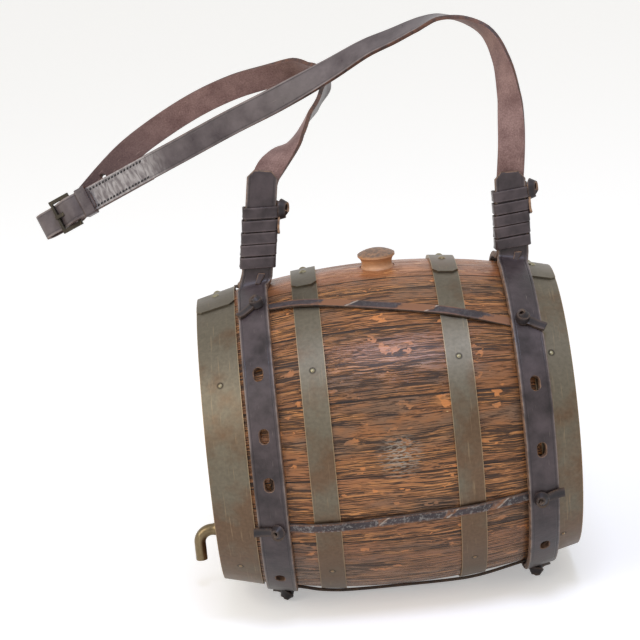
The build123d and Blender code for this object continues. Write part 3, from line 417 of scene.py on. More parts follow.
def leather_flesh(name, dark, light, roughness=0.8, darkening=None):
    """Flesh side of leather: matt and fibrous, with pale scuffs. soiled is a dark colour and where along the piece
    the flesh starts to darken towards it and is darkest."""
    material, add, shader = new_material(name)
    coords = add("TexCoord").node.outputs
    fuzz = add("TexNoise", {"Vector": coords["Object"], "Scale": 1 / fuzz_size, "Detail": 4})
    stains = add("TexNoise", {"Vector": coords["Object"], "Scale": 1 / stain_size, "Detail": 3})
    scuff_rate = (1 / scuff_size[0], 1 / scuff_size[1], 1)
    scuffs = add("Mapping", {"Vector": coords["UV"], "Rotation": (0, 0, 0.35), "Scale": scuff_rate})
    scuffs = add("TexNoise", {"Vector": scuffs, "Scale": 1, "Detail": 2})
    share = add("Math", (fuzz, stains), operation="ADD")
    layers = [(add("MapRange", (share, 0.75, 1.3)), light)]
    if darkening:
        dark_colour, dark_start, dark_end = darkening
        # The flesh is made darker along the piece towards the end of the run.
        along = add("SeparateXYZ", (coords["UV"],), "Y")
        layers.append((add("MapRange", (along, dark_start, dark_end, 0, 0.85)), dark_colour))
    layers.append((add("MapRange", (scuffs, 0.64, 0.76, 0, 0.45)), "#b79a8a"))
    leather = srgb(dark)
    for share, colour in layers:
        leather = add("Mix", {0: share, 6: leather, 7: srgb(colour)}, 2, data_type="RGBA")
    relief = add("Bump", {"Height": fuzz, "Strength": 0.5, "Distance": 0.25 * mm})
    feed(shader, {"Base Color": leather, "Roughness": roughness, "Normal": relief})
    feed(shader, {"Specular IOR Level": 0.3, "Sheen Weight": 0.15})
    return material


def finish_with(piece, kind, **settings):
    """Give a piece a modifier and apply it."""
    bpy.ops.object.select_all(action="DESELECT")
    piece.select_set(True)
    bpy.context.view_layer.objects.active = piece
    modifier = piece.modifiers.new(kind.lower(), kind)
    for name, value in settings.items():
        setattr(modifier, name, value)
    bpy.ops.object.modifier_apply(modifier=modifier.name)


washer_places = {
    "tap_washer_outside": -head_outer - washer_thickness / 2,
    "tap_washer_inside": -head_inner + washer_thickness / 2,
}
washer_leather = leather_flesh("greased belting leather", "#3b2a22", "#5c4436", roughness=0.6)
for node, washer_x in washer_places.items():
    bpy.ops.object.select_all(action="DESELECT")
    bpy.ops.mesh.primitive_circle_add(vertices=48, radius=washer_radius, fill_type="NOTHING")
    washer = bpy.context.object
    washer.name = f"leather_{node}"
    bpy.ops.object.mode_set(mode="EDIT")
    bpy.ops.mesh.select_all(action="SELECT")
    bpy.ops.mesh.extrude_region_move()
    bpy.ops.transform.resize(value=[washer_hole / washer_radius] * 3, center_override=(0, 0, 0))
    bpy.ops.mesh.select_all(action="SELECT")
    bpy.ops.mesh.normals_make_consistent()
    bpy.ops.object.mode_set(mode="OBJECT")
    washer.matrix_world = Matrix.Translation((washer_x, 0, tap_height)) @ washer_turned
    bpy.ops.object.transform_apply(location=True, rotation=True, scale=True)
    washer.data.materials.append(washer_leather)
    finish_with(washer, "SOLIDIFY", thickness=washer_thickness, offset=0)
    finish_with(
        washer, "BEVEL", width=washer_rounding, segments=2, limit_method="ANGLE", angle_limit=math.radians(50)
    )
    bpy.ops.object.shade_smooth_by_angle(angle=smooth_angle)
    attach(washer, "keg")
    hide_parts(node)

# Harness bands
# Two bands of thick oiled harness leather go right round the keg. They are punched with oblong holes, and their
# ends turn up at the top on both sides of the strap. The grain side is smooth, and the edges are creased.
bilge_centre = belly_radius - bilge_radius
hoop_clearance = 0.05 * mm
lap_gap = 0.06 * mm
leather_clearance = 0.35 * mm
stack_clearance = 0.15 * mm
band_width = 20.5 * mm
band_thickness = 4 * mm
band_rounding = 0.8 * mm
band_tip_width = 11.5 * mm
band_tip_length = 5 * mm
band_hole_width = 6 * mm
band_hole_length = 9.5 * mm
hole_flare = 0.9 * mm
hole_flare_proud = 0.3 * mm
strap_width = 18 * mm
strap_thickness = 2.9 * mm
lace_width = 6.5 * mm
lace_thickness = 1.8 * mm
lace_hole_inset = 2.5 * mm
lace_slot_clearance = 0.3 * mm
lace_channel_depth = 2.2 * mm
tab_offset = strap_thickness / 2 + stack_clearance + band_thickness / 2
hug_step = 5
turn_steps, rise_steps, tip_steps = 8, 6, 3
pebble_size = 1.1 * mm
cloud_size = 16 * mm
crease_size = (7 * mm, 2.2 * mm)
scratch_size = (0.5 * mm, 14 * mm)
pressed_line = 0.45 * mm
hide_layer_size = 4 * mm
laces = {
    "lace_front_upper": ((70, 50), (215, 330)),
    "lace_front_lower": ((-18, -15), (178, 4)),
    "lace_bottom": ((288, 290), (240, 300)),
    "lace_back_lower": ((198, 195), (190, 350)),
    "lace_back_upper": ((118, 134), (160, 20)),
}


def stave_surface(x):
    """Outer radius of the keg at a place along it."""
    return bilge_centre + math.sqrt(bilge_radius**2 - x**2)


def surface_slope(x):
    """How fast the outer radius changes along the keg."""
    return -x / math.sqrt(bilge_radius**2 - x**2)


def outward(angle):
    """Direction straight out from the keg's axis, 0 at the front and 90 at the top."""
    return Vector((0, -math.cos(math.radians(angle)), math.sin(math.radians(angle))))


def around(angle, radius, x):
    """Point at an angle and radius round the keg's axis."""
    return keg_middle + Vector((x, 0, 0)) + outward(angle) * radius


def surface_frame(angle, radius, x, slope=0):
    """Placing matrix on a surface of the keg: x along the keg, y on round it and z outwards."""
    along = (Vector((1, 0, 0)) + outward(angle) * slope).normalized()
    normal = (outward(angle) - Vector((1, 0, 0)) * slope).normalized()
    turned = Matrix((along, normal.cross(along), normal)).transposed().to_4x4()
    return Matrix.Translation(around(angle, radius, x)) @ turned


end_hoop_place, end_hoop_width = hoop_places["hoop_right_end"]
right_band_place = 93 * mm
right_hoop_edge = end_hoop_place - end_hoop_width / 2
edge_rise = surface_slope(end_hoop_place) * (right_hoop_edge - end_hoop_place)
right_edge_radius = stave_surface(end_hoop_place) + edge_rise
right_lap_radius = right_edge_radius + hoop_clearance + 2 * hoop_thickness + lap_gap
right_band_drop = surface_slope(right_band_place) * (right_band_place - right_hoop_edge)
bands = {
    "left": {
        "place": -81.5 * mm, "holes": (39, 17, 0, -46, 141, 163, 180, 226), "turn_up": 8 * mm,
        "surface": stave_surface(-81.5 * mm) + leather_clearance,
        "foot": (-77.4 * mm, 113 * mm), "head": (-66.6 * mm, 183 * mm), "back_top": 161 * mm,
        "lashing": (113.5 * mm, 8.4 * mm, 7.8 * mm),
    },
    "right": {
        "place": right_band_place, "holes": (26, 3, -40, 154, 177, 220), "turn_up": 6 * mm,
        "surface": right_lap_radius + leather_clearance + right_band_drop,
        "foot": (94.5 * mm, 110 * mm), "head": (96 * mm, 166 * mm), "back_top": 155 * mm,
        "lashing": (110.5 * mm, 8.1 * mm, 7.4 * mm),
    },
}
belly_side = {"left": 1, "right": -1}
hole_places = {side: band["place"] + belly_side[side] * lace_hole_inset for side, band in bands.items()}


def band_inside(side, x):
    """Radius of a band's underside at a place along the keg."""
    band = bands[side]
    return band["surface"] + surface_slope(band["place"]) * (x - band["place"])


def band_middle(side, x):
    """Radius of the middle of a band's thickness at a place along the keg."""
    return band_inside(side, x) + band_thickness / 2 * math.hypot(1, surface_slope(bands[side]["place"]))


def stack_point(side, height, y=0):
    """Point on the strap's middle line between the two tabs, at a height above the keg's axis."""
    foot, head = bands[side]["foot"], bands[side]["head"]
    x = foot[0] + (head[0] - foot[0]) * (height - foot[1]) / (head[1] - foot[1])
    return Vector((x, y, axis_height + height))


def stack_up(side):
    """Direction in which the tabs and the strap between them rise."""
    foot, head = bands[side]["foot"], bands[side]["head"]
    return (stack_point(side, head[1]) - stack_point(side, foot[1])).normalized()


def stack_across(side):
    """Direction across the tabs, square to the way that they rise."""
    up = stack_up(side)
    return Vector((up.z, 0, -up.x))


def tab_stations(side, facing, top_height):
    """Stations of a band's end, from where it leaves the keg up to its tip. Front is -1 and back is 1."""
    place = bands[side]["place"]
    slope = surface_slope(place)
    radius = band_middle(side, place)
    turn_radius = bands[side]["turn_up"]
    centre_y = tab_offset + turn_radius
    centre_z = math.sqrt((radius + turn_radius) ** 2 - centre_y**2)
    leave = math.atan2(centre_z, centre_y)
    out = Vector((0, facing * math.cos(leave), math.sin(leave)))
    across_start = (Vector((1, 0, 0)) + out * slope).normalized()
    foot = stack_point(side, centre_z, facing * tab_offset)
    stations = []
    for step in range(turn_steps + 1):
        share = step / turn_steps
        turn = leave * (1 - share)
        y = facing * (centre_y - turn_radius * math.cos(turn))
        z = axis_height + centre_z - turn_radius * math.sin(turn)
        across = (across_start * (1 - share) + stack_across(side) * share).normalized()
        stations.append((Vector((place + (foot.x - place) * share, y, z)), across, band_width))
    shoulder = top_height - band_tip_length
    for step in range(1, rise_steps + 1):
        height = centre_z + (shoulder - centre_z) * step / rise_steps
        stations.append((stack_point(side, height, facing * tab_offset), stack_across(side), band_width))
    for step in range(1, tip_steps + 1):
        height = shoulder + band_tip_length * step / tip_steps
        width = band_width + (band_tip_width - band_width) * step / tip_steps
        stations.append((stack_point(side, height, facing * tab_offset), stack_across(side), width))
    return stations, math.degrees(leave)


def lay_strip(name, stations, thickness, leathers, columns=8, rounding=0.6 * mm):
    """Cut strip of leather laid along stations of point, across and width.

    Its grain side looks along across x heading. leathers are its grain, flesh and cut-edge finishes.
    """
    bpy.ops.object.select_all(action="DESELECT")
    bpy.ops.mesh.primitive_grid_add(x_subdivisions=columns, y_subdivisions=len(stations) - 1, size=1)
    strip = bpy.context.object
    strip.name = name
    travelled = [0]
    for before, after in zip(stations, stations[1:]):
        travelled.append(travelled[-1] + (after[0] - before[0]).length)
    rows = [round((vertex.co.y + 0.5) * (len(stations) - 1)) for vertex in strip.data.vertices]
    cut_pattern = strip.data.uv_layers.active.data
    for loop in strip.data.loops:
        row = rows[loop.vertex_index]
        across_share = strip.data.vertices[loop.vertex_index].co.x
        cut_pattern[loop.index].uv = (across_share * stations[row][2], travelled[row])
    for vertex, row in zip(strip.data.vertices, rows):
        point, across, width = stations[row]
        vertex.co = point + across * (vertex.co.x * width)
    for finish in leathers:
        strip.data.materials.append(finish)
    finish_with(strip, "SOLIDIFY", thickness=thickness, offset=0, material_offset=1, material_offset_rim=2)
    finish_with(
        strip, "BEVEL", width=rounding, segments=3, limit_method="ANGLE", angle_limit=math.radians(55),
        use_clamp_overlap=True,
    )
    bpy.ops.object.shade_smooth_by_angle(angle=smooth_angle)
    return strip


def leather_grain(
    name, dark, light, rubbed, half_width, crease=2 * mm, roughness=0.42, marks=0.5, rub_and_sheen_run=None
):
    """Grain side of oiled leather. A fine pebble and soft creases catch the light, a dark pressed line runs along
    both edges, and scratches are rubbed paler. The edges are painted paler, partly as wear and partly as a painted
    highlight on their rounding.

    rub_and_sheen_run is a pale colour and the places along the piece between which the face is painted pale, partly
    as rubbing and partly as a painted sheen.
    """
    material, add, shader = new_material(name)
    coords = add("TexCoord").node.outputs
    place, pattern = coords["Object"], coords["UV"]
    pebble = add("TexVoronoi", {"Vector": place, "Scale": 1 / pebble_size}, feature="SMOOTH_F1")
    clouds = {"Vector": place, "Scale": 1 / cloud_size, "Detail": 4, "Roughness": 0.6}
    clouds = add("TexNoise", clouds)
    crease_rate = (1 / crease_size[0], 1 / crease_size[1], 1)
    creases = add("Mapping", {"Vector": pattern, "Scale": crease_rate})
    creases = add("TexNoise", {"Vector": creases, "Scale": 1, "Detail": 3, "Distortion": 0.6})
    scratch_rate = (1 / scratch_size[0], 1 / scratch_size[1], 1)
    scratches = add("Mapping", {"Vector": pattern, "Rotation": (0, 0, 0.5), "Scale": scratch_rate})
    scratches = add("TexNoise", {"Vector": scratches, "Scale": 1, "Detail": 2})
    sides = add("SeparateXYZ", (pattern,)).node.outputs
    off_middle = add("Math", (sides["X"],), operation="ABSOLUTE")
    from_edge = add("Math", (half_width, off_middle), operation="SUBTRACT")
    from_crease = add("Math", (from_edge, crease), operation="SUBTRACT")
    from_crease = add("Math", (from_crease,), operation="ABSOLUTE")
    ranges = {}
    for use, *limits in (
        ("pressed", from_crease, 0, pressed_line, 1, 0),
        ("edge", from_edge, 0.2 * mm, 1.5 * mm, 0.75, 0),
        ("broken", clouds, 0.35, 0.6, 0.25, 1),
        ("scratch", scratches, 0.7, 0.8, 0, marks),
        ("tone", clouds, 0.3, 0.7, 0, 1),
        ("mottled", creases, 0.36, 0.62, 0.2, 1),
        ("gloss", clouds, 0.3, 0.7, roughness - 0.08, roughness + 0.12),
    ):
        ranges[use] = add("MapRange", limits)
    # The pale line along the edges is partly wear and partly a painted highlight on their rounding.
    leather_edge_wear_and_glint = add("Math", (ranges["edge"], ranges["broken"]), operation="MULTIPLY")
    rub_and_edge_glint = add("Math", (leather_edge_wear_and_glint, ranges["scratch"]), operation="MAXIMUM")
    layers = [(ranges["tone"], light), (rub_and_edge_glint, rubbed)]
    # A run along the piece painted pale: partly rubbing, partly a painted sheen.
    if rub_and_sheen_run:
        pale, run_start, run_end = rub_and_sheen_run
        off_run = add("Math", (sides["Y"], (run_start + run_end) / 2), operation="SUBTRACT")
        off_run = add("Math", (off_run,), operation="ABSOLUTE")
        run_half = (run_end - run_start) / 2
        in_run = add("MapRange", (off_run, run_half - 10 * mm, run_half + 8 * mm, 0.8, 0))
        layers.append((add("Math", (in_run, ranges["mottled"]), operation="MULTIPLY"), pale))
    leather = srgb(dark)
    for share, colour in layers:
        leather = add("Mix", {0: share, 6: leather, 7: srgb(colour)}, 2, data_type="RGBA")
    shade = add("MapRange", (ranges["pressed"], 0, 1, 1, 0.55))
    leather = add("VectorMath", {0: leather, "Scale": shade}, operation="SCALE")
    height = add("Math", (pebble, 0.35, creases), operation="MULTIPLY_ADD")
    height = add("Math", (ranges["pressed"], -1.6, height), operation="MULTIPLY_ADD")
    relief = add("Bump", {"Height": height, "Strength": 0.55, "Distance": 0.22 * mm})
    feed(shader, {"Base Color": leather, "Roughness": ranges["gloss"], "Normal": relief})
    feed(shader, {"Specular IOR Level": 0.32})
    return material


def leather_cut_edge(name, dark, light):
    """Cut edge of leather, where the brown inside of the hide shows in uneven, half-dull layers."""
    material, add, shader = new_material(name)
    place = add("TexCoord", output="Object")
    layers = {"Vector": place, "Scale": 1 / hide_layer_size, "Detail": 4, "Roughness": 0.7}
    layers = add("TexNoise", layers)
    share = add("MapRange", (layers, 0.35, 0.65))
    colour = add("Mix", {0: share, 6: srgb(dark), 7: srgb(light)}, 2, data_type="RGBA")
    relief = add("Bump", {"Height": layers, "Strength": 0.4, "Distance": 0.2 * mm})
    feed(shader, {"Base Color": colour, "Roughness": 0.6, "Normal": relief})
    return material


def place_cutter(placing, stretch=None):
    """Put the new primitive where it cuts. stretch lengthens it into a slot along its y."""
    cutter = bpy.context.object
    if stretch:
        for vertex in cutter.data.vertices:
            vertex.co.y += math.copysign(stretch / 2, vertex.co.y)
    cutter.matrix_world = placing
    bpy.ops.object.transform_apply(location=True, rotation=True, scale=True)
    return cutter


def cut_away(piece, cutters, edge_index=2):
    """Cut the cutters out of a piece, so that its cut-edge finish shows on the cuts."""
    bpy.ops.object.select_all(action="DESELECT")
    for cutter in cutters:
        cutter.select_set(True)
    bpy.context.view_layer.objects.active = cutters[0]
    if len(cutters) > 1:
        bpy.ops.object.join()
    knife = bpy.context.object
    knife.data.materials.clear()
    for finish in piece.data.materials:
        knife.data.materials.append(finish)
    for face in knife.data.polygons:
        face.material_index = edge_index
    finish_with(piece, "BOOLEAN", operation="DIFFERENCE", object=knife, solver="EXACT", use_self=True)
    bpy.data.objects.remove(knife)
    bpy.ops.object.shade_smooth_by_angle(angle=smooth_angle)


band_grain = leather_grain(
    "oiled harness leather", "#2b2323", "#524747", "#a39488", band_width / 2, crease=2.4 * mm, roughness=0.36,
    marks=0.65,
)
band_flesh = leather_flesh("harness leather flesh side", "#4a3832", "#6e564a")
band_edge = leather_cut_edge("harness leather cut edge", "#3a2a22", "#86664e")
band_leathers = (band_grain, band_flesh, band_edge)
slot_width = lace_thickness + 2 * lace_slot_clearance
slot_length = lace_width + 2 * lace_slot_clearance
through = 3 * band_thickness
for side, band in bands.items():
    front, leave = tab_stations(side, -1, band["head"][1])
    back, leave = tab_stations(side, 1, band["back_top"])
    slope = surface_slope(band["place"])
    radius = band_middle(side, band["place"])
    hug_length = 2 * leave + 180
    hug_count = round(hug_length / hug_step)
    hug = []
    for step in range(1, hug_count):
        angle = leave - hug_length * step / hug_count
        along = (Vector((1, 0, 0)) + outward(angle) * slope).normalized()
        hug.append((around(angle, radius, band["place"]), along, band_width))
    stations = [(point, -across, width) for point, across, width in front[::-1] + hug + back]
    band_name = f"harness_leather_band_{side}"
    harness_band = lay_strip(band_name, stations, band_thickness, band_leathers, rounding=band_rounding)
    cutters = []
    hole_radius = band_hole_width / 2
    straight = band_hole_length - band_hole_width
    for angle in band["holes"]:
        hole = surface_frame(angle, radius, band["place"], slope)
        bpy.ops.mesh.primitive_cylinder_add(vertices=24, radius=hole_radius, depth=through)
        cutters.append(place_cutter(hole, straight))
        flared = hole_radius + 2 * hole_flare
        bpy.ops.mesh.primitive_cone_add(vertices=24, radius1=hole_radius, radius2=flared, depth=2 * hole_flare)
        mouth = Matrix.Translation((0, 0, band_thickness / 2 + hole_flare_proud))
        cutters.append(place_cutter(hole @ mouth, straight))
    hole_x = hole_places[side]
    for ends, tails in laces.values():
        angle = ends[0] if side == "left" else ends[1]
        run = hole_places["right"] - hole_places["left"]
        climb = math.atan(math.radians(ends[1] - ends[0]) * belly_radius / run)
        slot = surface_frame(angle, band_middle(side, hole_x), hole_x)
        bpy.ops.mesh.primitive_cube_add(size=1)
        cutters.append(place_cutter(slot @ Matrix.Diagonal((slot_width, slot_length, through, 1))))
        channel = surface_frame(angle, band_inside(side, hole_x), hole_x, slope)
        reach = belly_side[side] * (band_width - slot_width) / 2
        sunk = lace_channel_depth / 2 - band_thickness / 2
        channel @= Matrix.Translation((reach, reach * math.tan(climb), sunk))
        channel @= Matrix.Rotation(climb, 4, "Z")
        channel_size = (band_width, slot_length + lace_thickness / 2, band_thickness + lace_channel_depth, 1)
        bpy.ops.mesh.primitive_cube_add(size=1)
        cutters.append(place_cutter(channel @ Matrix.Diagonal(channel_size)))
    cut_away(harness_band, cutters)
    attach(harness_band, "keg")
    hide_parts(f"harness_band_{side}")

# Laces
# Five flat leather laces pull the two bands together. Each runs under a band, over the hoops and the belly, comes
# up through a slot at each end and is knotted there, with a short tail. They are worn pale where they rub.
lace_lift = lace_thickness / 2 + leather_clearance
lace_rounding = 0.45 * mm
no_crease = 9 * mm
quarter_hoop_place, quarter_hoop_width = hoop_places["hoop_right_quarter"]
quarter_hoop_edges = [quarter_hoop_place + sign * quarter_hoop_width / 2 for sign in (1, -1)]
lace_run_steps = 8
crackle_size = 2.6 * mm
ragged_size = 4 * mm
ragged_reach = 14 * mm
worn_slant = 1.3
worn_fade = 1.5 * mm
fold_highlight_fade = (0.3 * mm, 1.2 * mm)
knot_strip_width = 5 * mm
knot_strip_thickness = 1.5 * mm
knot_rounding = 0.35 * mm
knot_steps = 4
knot_heart = Vector((0, 0, 1.4 * mm))
tail_length = 16 * mm
tail_width = 6.2 * mm
tail_spread_steps = 5
knot_loops = (
    (0, 0, -1.5), (0.3, 0.3, 0.9), (2.7, 1.2, 1.3), (2.4, -2.3, 1.9), (-0.8, -3.4, 2.1), (-3, -0.8, 1.5),
    (-2, 2.8, 1.6), (1.1, 3.1, 2.9), (1.9, 0.2, 3.7), (-0.4, -1.9, 3.4), (-1.6, -1.2, 2.2),
)
tail_stops = ((0.32, 1.3, 0.1), (0.6, 1.0, 0.5), (0.82, 1.1, 0.9), (1, 1.6, 0.9))
worn_turns = {
    "lace_front_upper": ((43 * mm, 64 * mm), (94 * mm, 116 * mm), (152 * mm, 172 * mm)),
    "lace_front_lower": ((66 * mm, 68 * mm), (110 * mm, 113 * mm), (140 * mm, 146 * mm)),
    "lace_bottom": ((50 * mm, 66 * mm), (120 * mm, 131 * mm)),
    "lace_back_lower": ((40 * mm, 54 * mm), (104 * mm, 121 * mm)),
    "lace_back_upper": ((62 * mm, 78 * mm), (126 * mm, 136 * mm)),
}
cracked_share = {"lace_front_lower": 0.65, "lace_bottom": 0.4}
least_cracked = 0.12


def smooth_line(points, steps):
    """Smooth line through points, with steps parts between each two."""
    before = [points[0] * 2 - points[1], *points[:-1]]
    after = [*points[1:], points[-1] * 2 - points[-2]]
    headings = [(late - early).normalized() for early, late in zip(before, after)]
    line = []
    for index in range(len(points) - 1):
        start, end = points[index], points[index + 1]
        reach = (end - start).length / 3
        handles = (start + headings[index] * reach, end - headings[index + 1] * reach)
        line += geometry.interpolate_bezier(start, *handles, end, steps + 1)[:-1]
    return line + [points[-1]]


def line_headings(line):
    """Heading at each point of a line."""
    before = [line[0], *line[:-1]]
    after = [*line[1:], line[-1]]
    return [(late - early).normalized() for early, late in zip(before, after)]


def tie_knot(name, placing, tail_turn, leathers, size=1.2):
    """Overhand knot in a lace, with its tail, on a surface."""
    turn = math.radians(tail_turn)
    tail_way = Vector((math.cos(turn), math.sin(turn), 0))
    side_way = Vector((-math.sin(turn), math.cos(turn), 0))
    points = [Vector(point) * mm * size for point in knot_loops]
    for share, lift, drift in tail_stops:
        points.append(tail_way * tail_length * share + side_way * drift * mm + Vector((0, 0, lift * mm)))
    line = smooth_line(points, knot_steps)
    tail_start = (len(knot_loops) - 1) * knot_steps
    stations = []
    for index, (point, heading) in enumerate(zip(line, line_headings(line))):
        from_middle = (point - knot_heart).normalized()
        share = min(max((index - tail_start) / tail_spread_steps, 0), 1)
        look = from_middle * (1 - share) + Vector((0, 0, 1)) * share
        across = heading.cross(look).normalized()
        width = knot_strip_width + (tail_width - knot_strip_width) * share
        stations.append((placing @ point, placing.to_3x3() @ across, width))
    return lay_strip(name, stations, knot_strip_thickness, leathers, columns=4, rounding=knot_rounding)


def join_pieces(pieces):
    """Join pieces of one leather into the first of them."""
    bpy.ops.object.select_all(action="DESELECT")
    for piece in pieces:
        piece.select_set(True)
    bpy.context.view_layer.objects.active = pieces[0]
    bpy.ops.object.join()
    return pieces[0]


def wood_top(x):
    """Radius of a lace's middle line over bare wood."""
    return stave_surface(x) + lace_lift


def hoop_top(x):
    """Radius of a lace's middle line over a quarter hoop."""
    slope = surface_slope(quarter_hoop_place)
    flat = stave_surface(quarter_hoop_place) + slope * (abs(x) - quarter_hoop_place)
    return flat + hoop_clearance + hoop_thickness + lace_lift


def lace_leather(name, dark, light, worn, turns, cracked):
    """Grain side of a flat lace, rubbed to the brown hide between the places in turns, with a pale mark on the fold
    at the end of each, partly wear and partly a painted highlight on the fold edge. cracked is how much of its
    finish has cracked and gone grey."""
    material = leather_grain(name, dark, light, worn, lace_width / 2, crease=no_crease, roughness=0.45, marks=0.8)
    add, shader = partial(add_node, material.node_tree), material.node_tree.nodes["Principled BSDF"]
    leather = shader.inputs["Base Color"].links[0].from_socket
    coords = add("TexCoord").node.outputs
    pattern = add("SeparateXYZ", (coords["UV"],)).node.outputs
    ragged = add("TexNoise", {"Vector": coords["Object"], "Scale": 1 / ragged_size, "Detail": 3})
    slanted = add("Math", (pattern["X"], worn_slant, pattern["Y"]), operation="MULTIPLY_ADD")
    worn_place = add("Math", (ragged, ragged_reach, slanted), operation="MULTIPLY_ADD")
    shares = {"worn": 0.0, "fold": 0.0}
    for start, end in turns:
        middle, half = (start + end) / 2 + ragged_reach / 2, (end - start) / 2
        for kind, value, middle, low, high, most in (
            ("worn", worn_place, middle, half - worn_fade, half + worn_fade, 0.85),
            ("fold", slanted, end, *fold_highlight_fade, 0.8),
        ):
            off = add("Math", (value, middle), operation="SUBTRACT")
            off = add("Math", (off,), operation="ABSOLUTE")
            near = add("MapRange", (off, low, high, most, 0))
            shares[kind] = add("Math", (shares[kind], near), operation="MAXIMUM")
    # The pale fold colour is partly wear and partly a painted highlight on the fold edge.
    patchy = add("MapRange", (ragged, 0.42, 0.55))
    fold_highlight_share = add("Math", (shares["fold"], patchy), operation="MULTIPLY")
    crackle = {"Vector": coords["Object"], "Scale": 1 / crackle_size, "Detail": 5, "Roughness": 0.75}
    crackle = add("MapRange", (add("TexNoise", crackle), 0.5, 0.62, 0, cracked))
    for share, colour in ((crackle, "#98938d"), (shares["worn"], worn), (fold_highlight_share, "#b5a797")):
        leather = add("Mix", {0: share, 6: leather, 7: srgb(colour)}, 2, data_type="RGBA")
    feed(shader, {"Base Color": leather})
    return material


cover_edges = {}
for side, band in bands.items():
    cover_edges[side] = band["place"] + belly_side[side] * (band_width / 2 + lace_thickness)
lace_stops = [(x, wood_top(x)) for x in (hole_places["left"], cover_edges["left"])]
lace_stops += [(-x, hoop_top(x)) for x in quarter_hoop_edges]
lace_stops += [(0, wood_top(0))]
lace_stops += [(x, hoop_top(x)) for x in reversed(quarter_hoop_edges)]
lace_stops += [(x, wood_top(x)) for x in (cover_edges["right"], hole_places["right"])]
lace_span = hole_places["right"] - hole_places["left"]

lace_flesh = leather_flesh("lace leather flesh side", "#5a3a2a", "#7d5238")
lace_edge = leather_cut_edge("lace leather cut edge", "#261d1b", "#54402f")
knot_grain = leather_grain(
    "knotted lace leather", "#1e191a", "#332b2b", "#55453c", knot_strip_width / 2, crease=no_crease
)
for name, (ends, tails) in laces.items():
    cracked = cracked_share.get(name, least_cracked)
    lace_title = f"oiled lace leather {name[5:]}"
    grain = lace_leather(lace_title, "#2c2526", "#483e3f", "#8e6040", worn_turns[name], cracked)
    route, looks = [], []
    for x, stop_radius in lace_stops:
        turn = ends[0] + (ends[1] - ends[0]) * (x - lace_stops[0][0]) / lace_span
        route.append(around(turn, stop_radius, x))
        looks.append(outward(turn))
    line_looks = []
    for before, after in zip(looks, looks[1:]):
        for step in range(lace_run_steps):
            share = step / lace_run_steps
            line_looks.append(before * (1 - share) + after * share)
    line_looks.append(looks[-1])
    line = smooth_line(route, lace_run_steps)
    stations = []
    for point, heading, look in zip(line, line_headings(line), line_looks):
        stations.append((point, heading.cross(look).normalized(), lace_width))
    lace_leathers = (grain, lace_flesh, lace_edge)
    lace = lay_strip(
        f"leather_{name}", stations, lace_thickness, lace_leathers, columns=4, rounding=lace_rounding
    )
    pieces = [lace]
    for side, angle, tail_turn in (("left", ends[0], tails[0]), ("right", ends[1], tails[1])):
        end_x = hole_places[side]
        top_radius = 2 * band_middle(side, end_x) - band_inside(side, end_x) + stack_clearance
        placing = surface_frame(angle, top_radius, end_x, surface_slope(bands[side]["place"]))
        pieces.append(tie_knot(f"{name}_knot_{side}", placing, tail_turn, (knot_grain, lace_flesh, lace_edge)))
    lace = join_pieces(pieces)
    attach(lace, "keg")
    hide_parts(name)

# Lashings
# A flat thong is wound five times round each pair of tabs with the strap's end between them, pulled tight, and
# finished with a small knot at the side. Its other end is tucked out under the lowest turn.
lashing_turns = 5
lashing_thickness = 1.4 * mm
lashing_rounding = 0.6 * mm
lashing_corner = 1.9 * mm
lashing_slack = 0.3 * mm
lashing_tilt = 0.09
slack_rate, tilt_rate = 0.23, 0.61
lashing_knot_size = 1.6
lashing_knot_turn = 250
lashing_half_width = 3.9 * mm
thong_end_steps = 6
thong_end_length = 7 * mm
thong_end_widths = (4.6 * mm, 3 * mm)
thong_end_drift = (3 * mm, 0.4 * mm)
thong_end_tuck = 1.2 * mm
thong_end_lift = 1.6 * mm
lashing_knot_forward = 1 * mm
lashing_knot_back = 0.25
corner_looks = (0, 22.5, 45, 67.5, 90)
lashing_corners = ((-1, 1), (-1, -1), (1, -1), (1, 1))
lashing_side_half = band_width / 2 + leather_clearance + lashing_thickness / 2
lashing_front_half = tab_offset + band_thickness / 2 + leather_clearance + lashing_thickness / 2


def corner_ring(corners, first_look, half_width, low, high, rounding):
    """Places and looks round a rectangle with rounded corners."""
    ring = []
    for corner, (way_x, way_y) in enumerate(corners):
        for step in corner_looks:
            look = first_look + 90 * corner + step
            x = way_x * (half_width - rounding) + rounding * math.cos(math.radians(look))
            edge = high - rounding if way_y > 0 else low + rounding
            ring.append((x, edge + rounding * math.sin(math.radians(look)), look))
    return ring


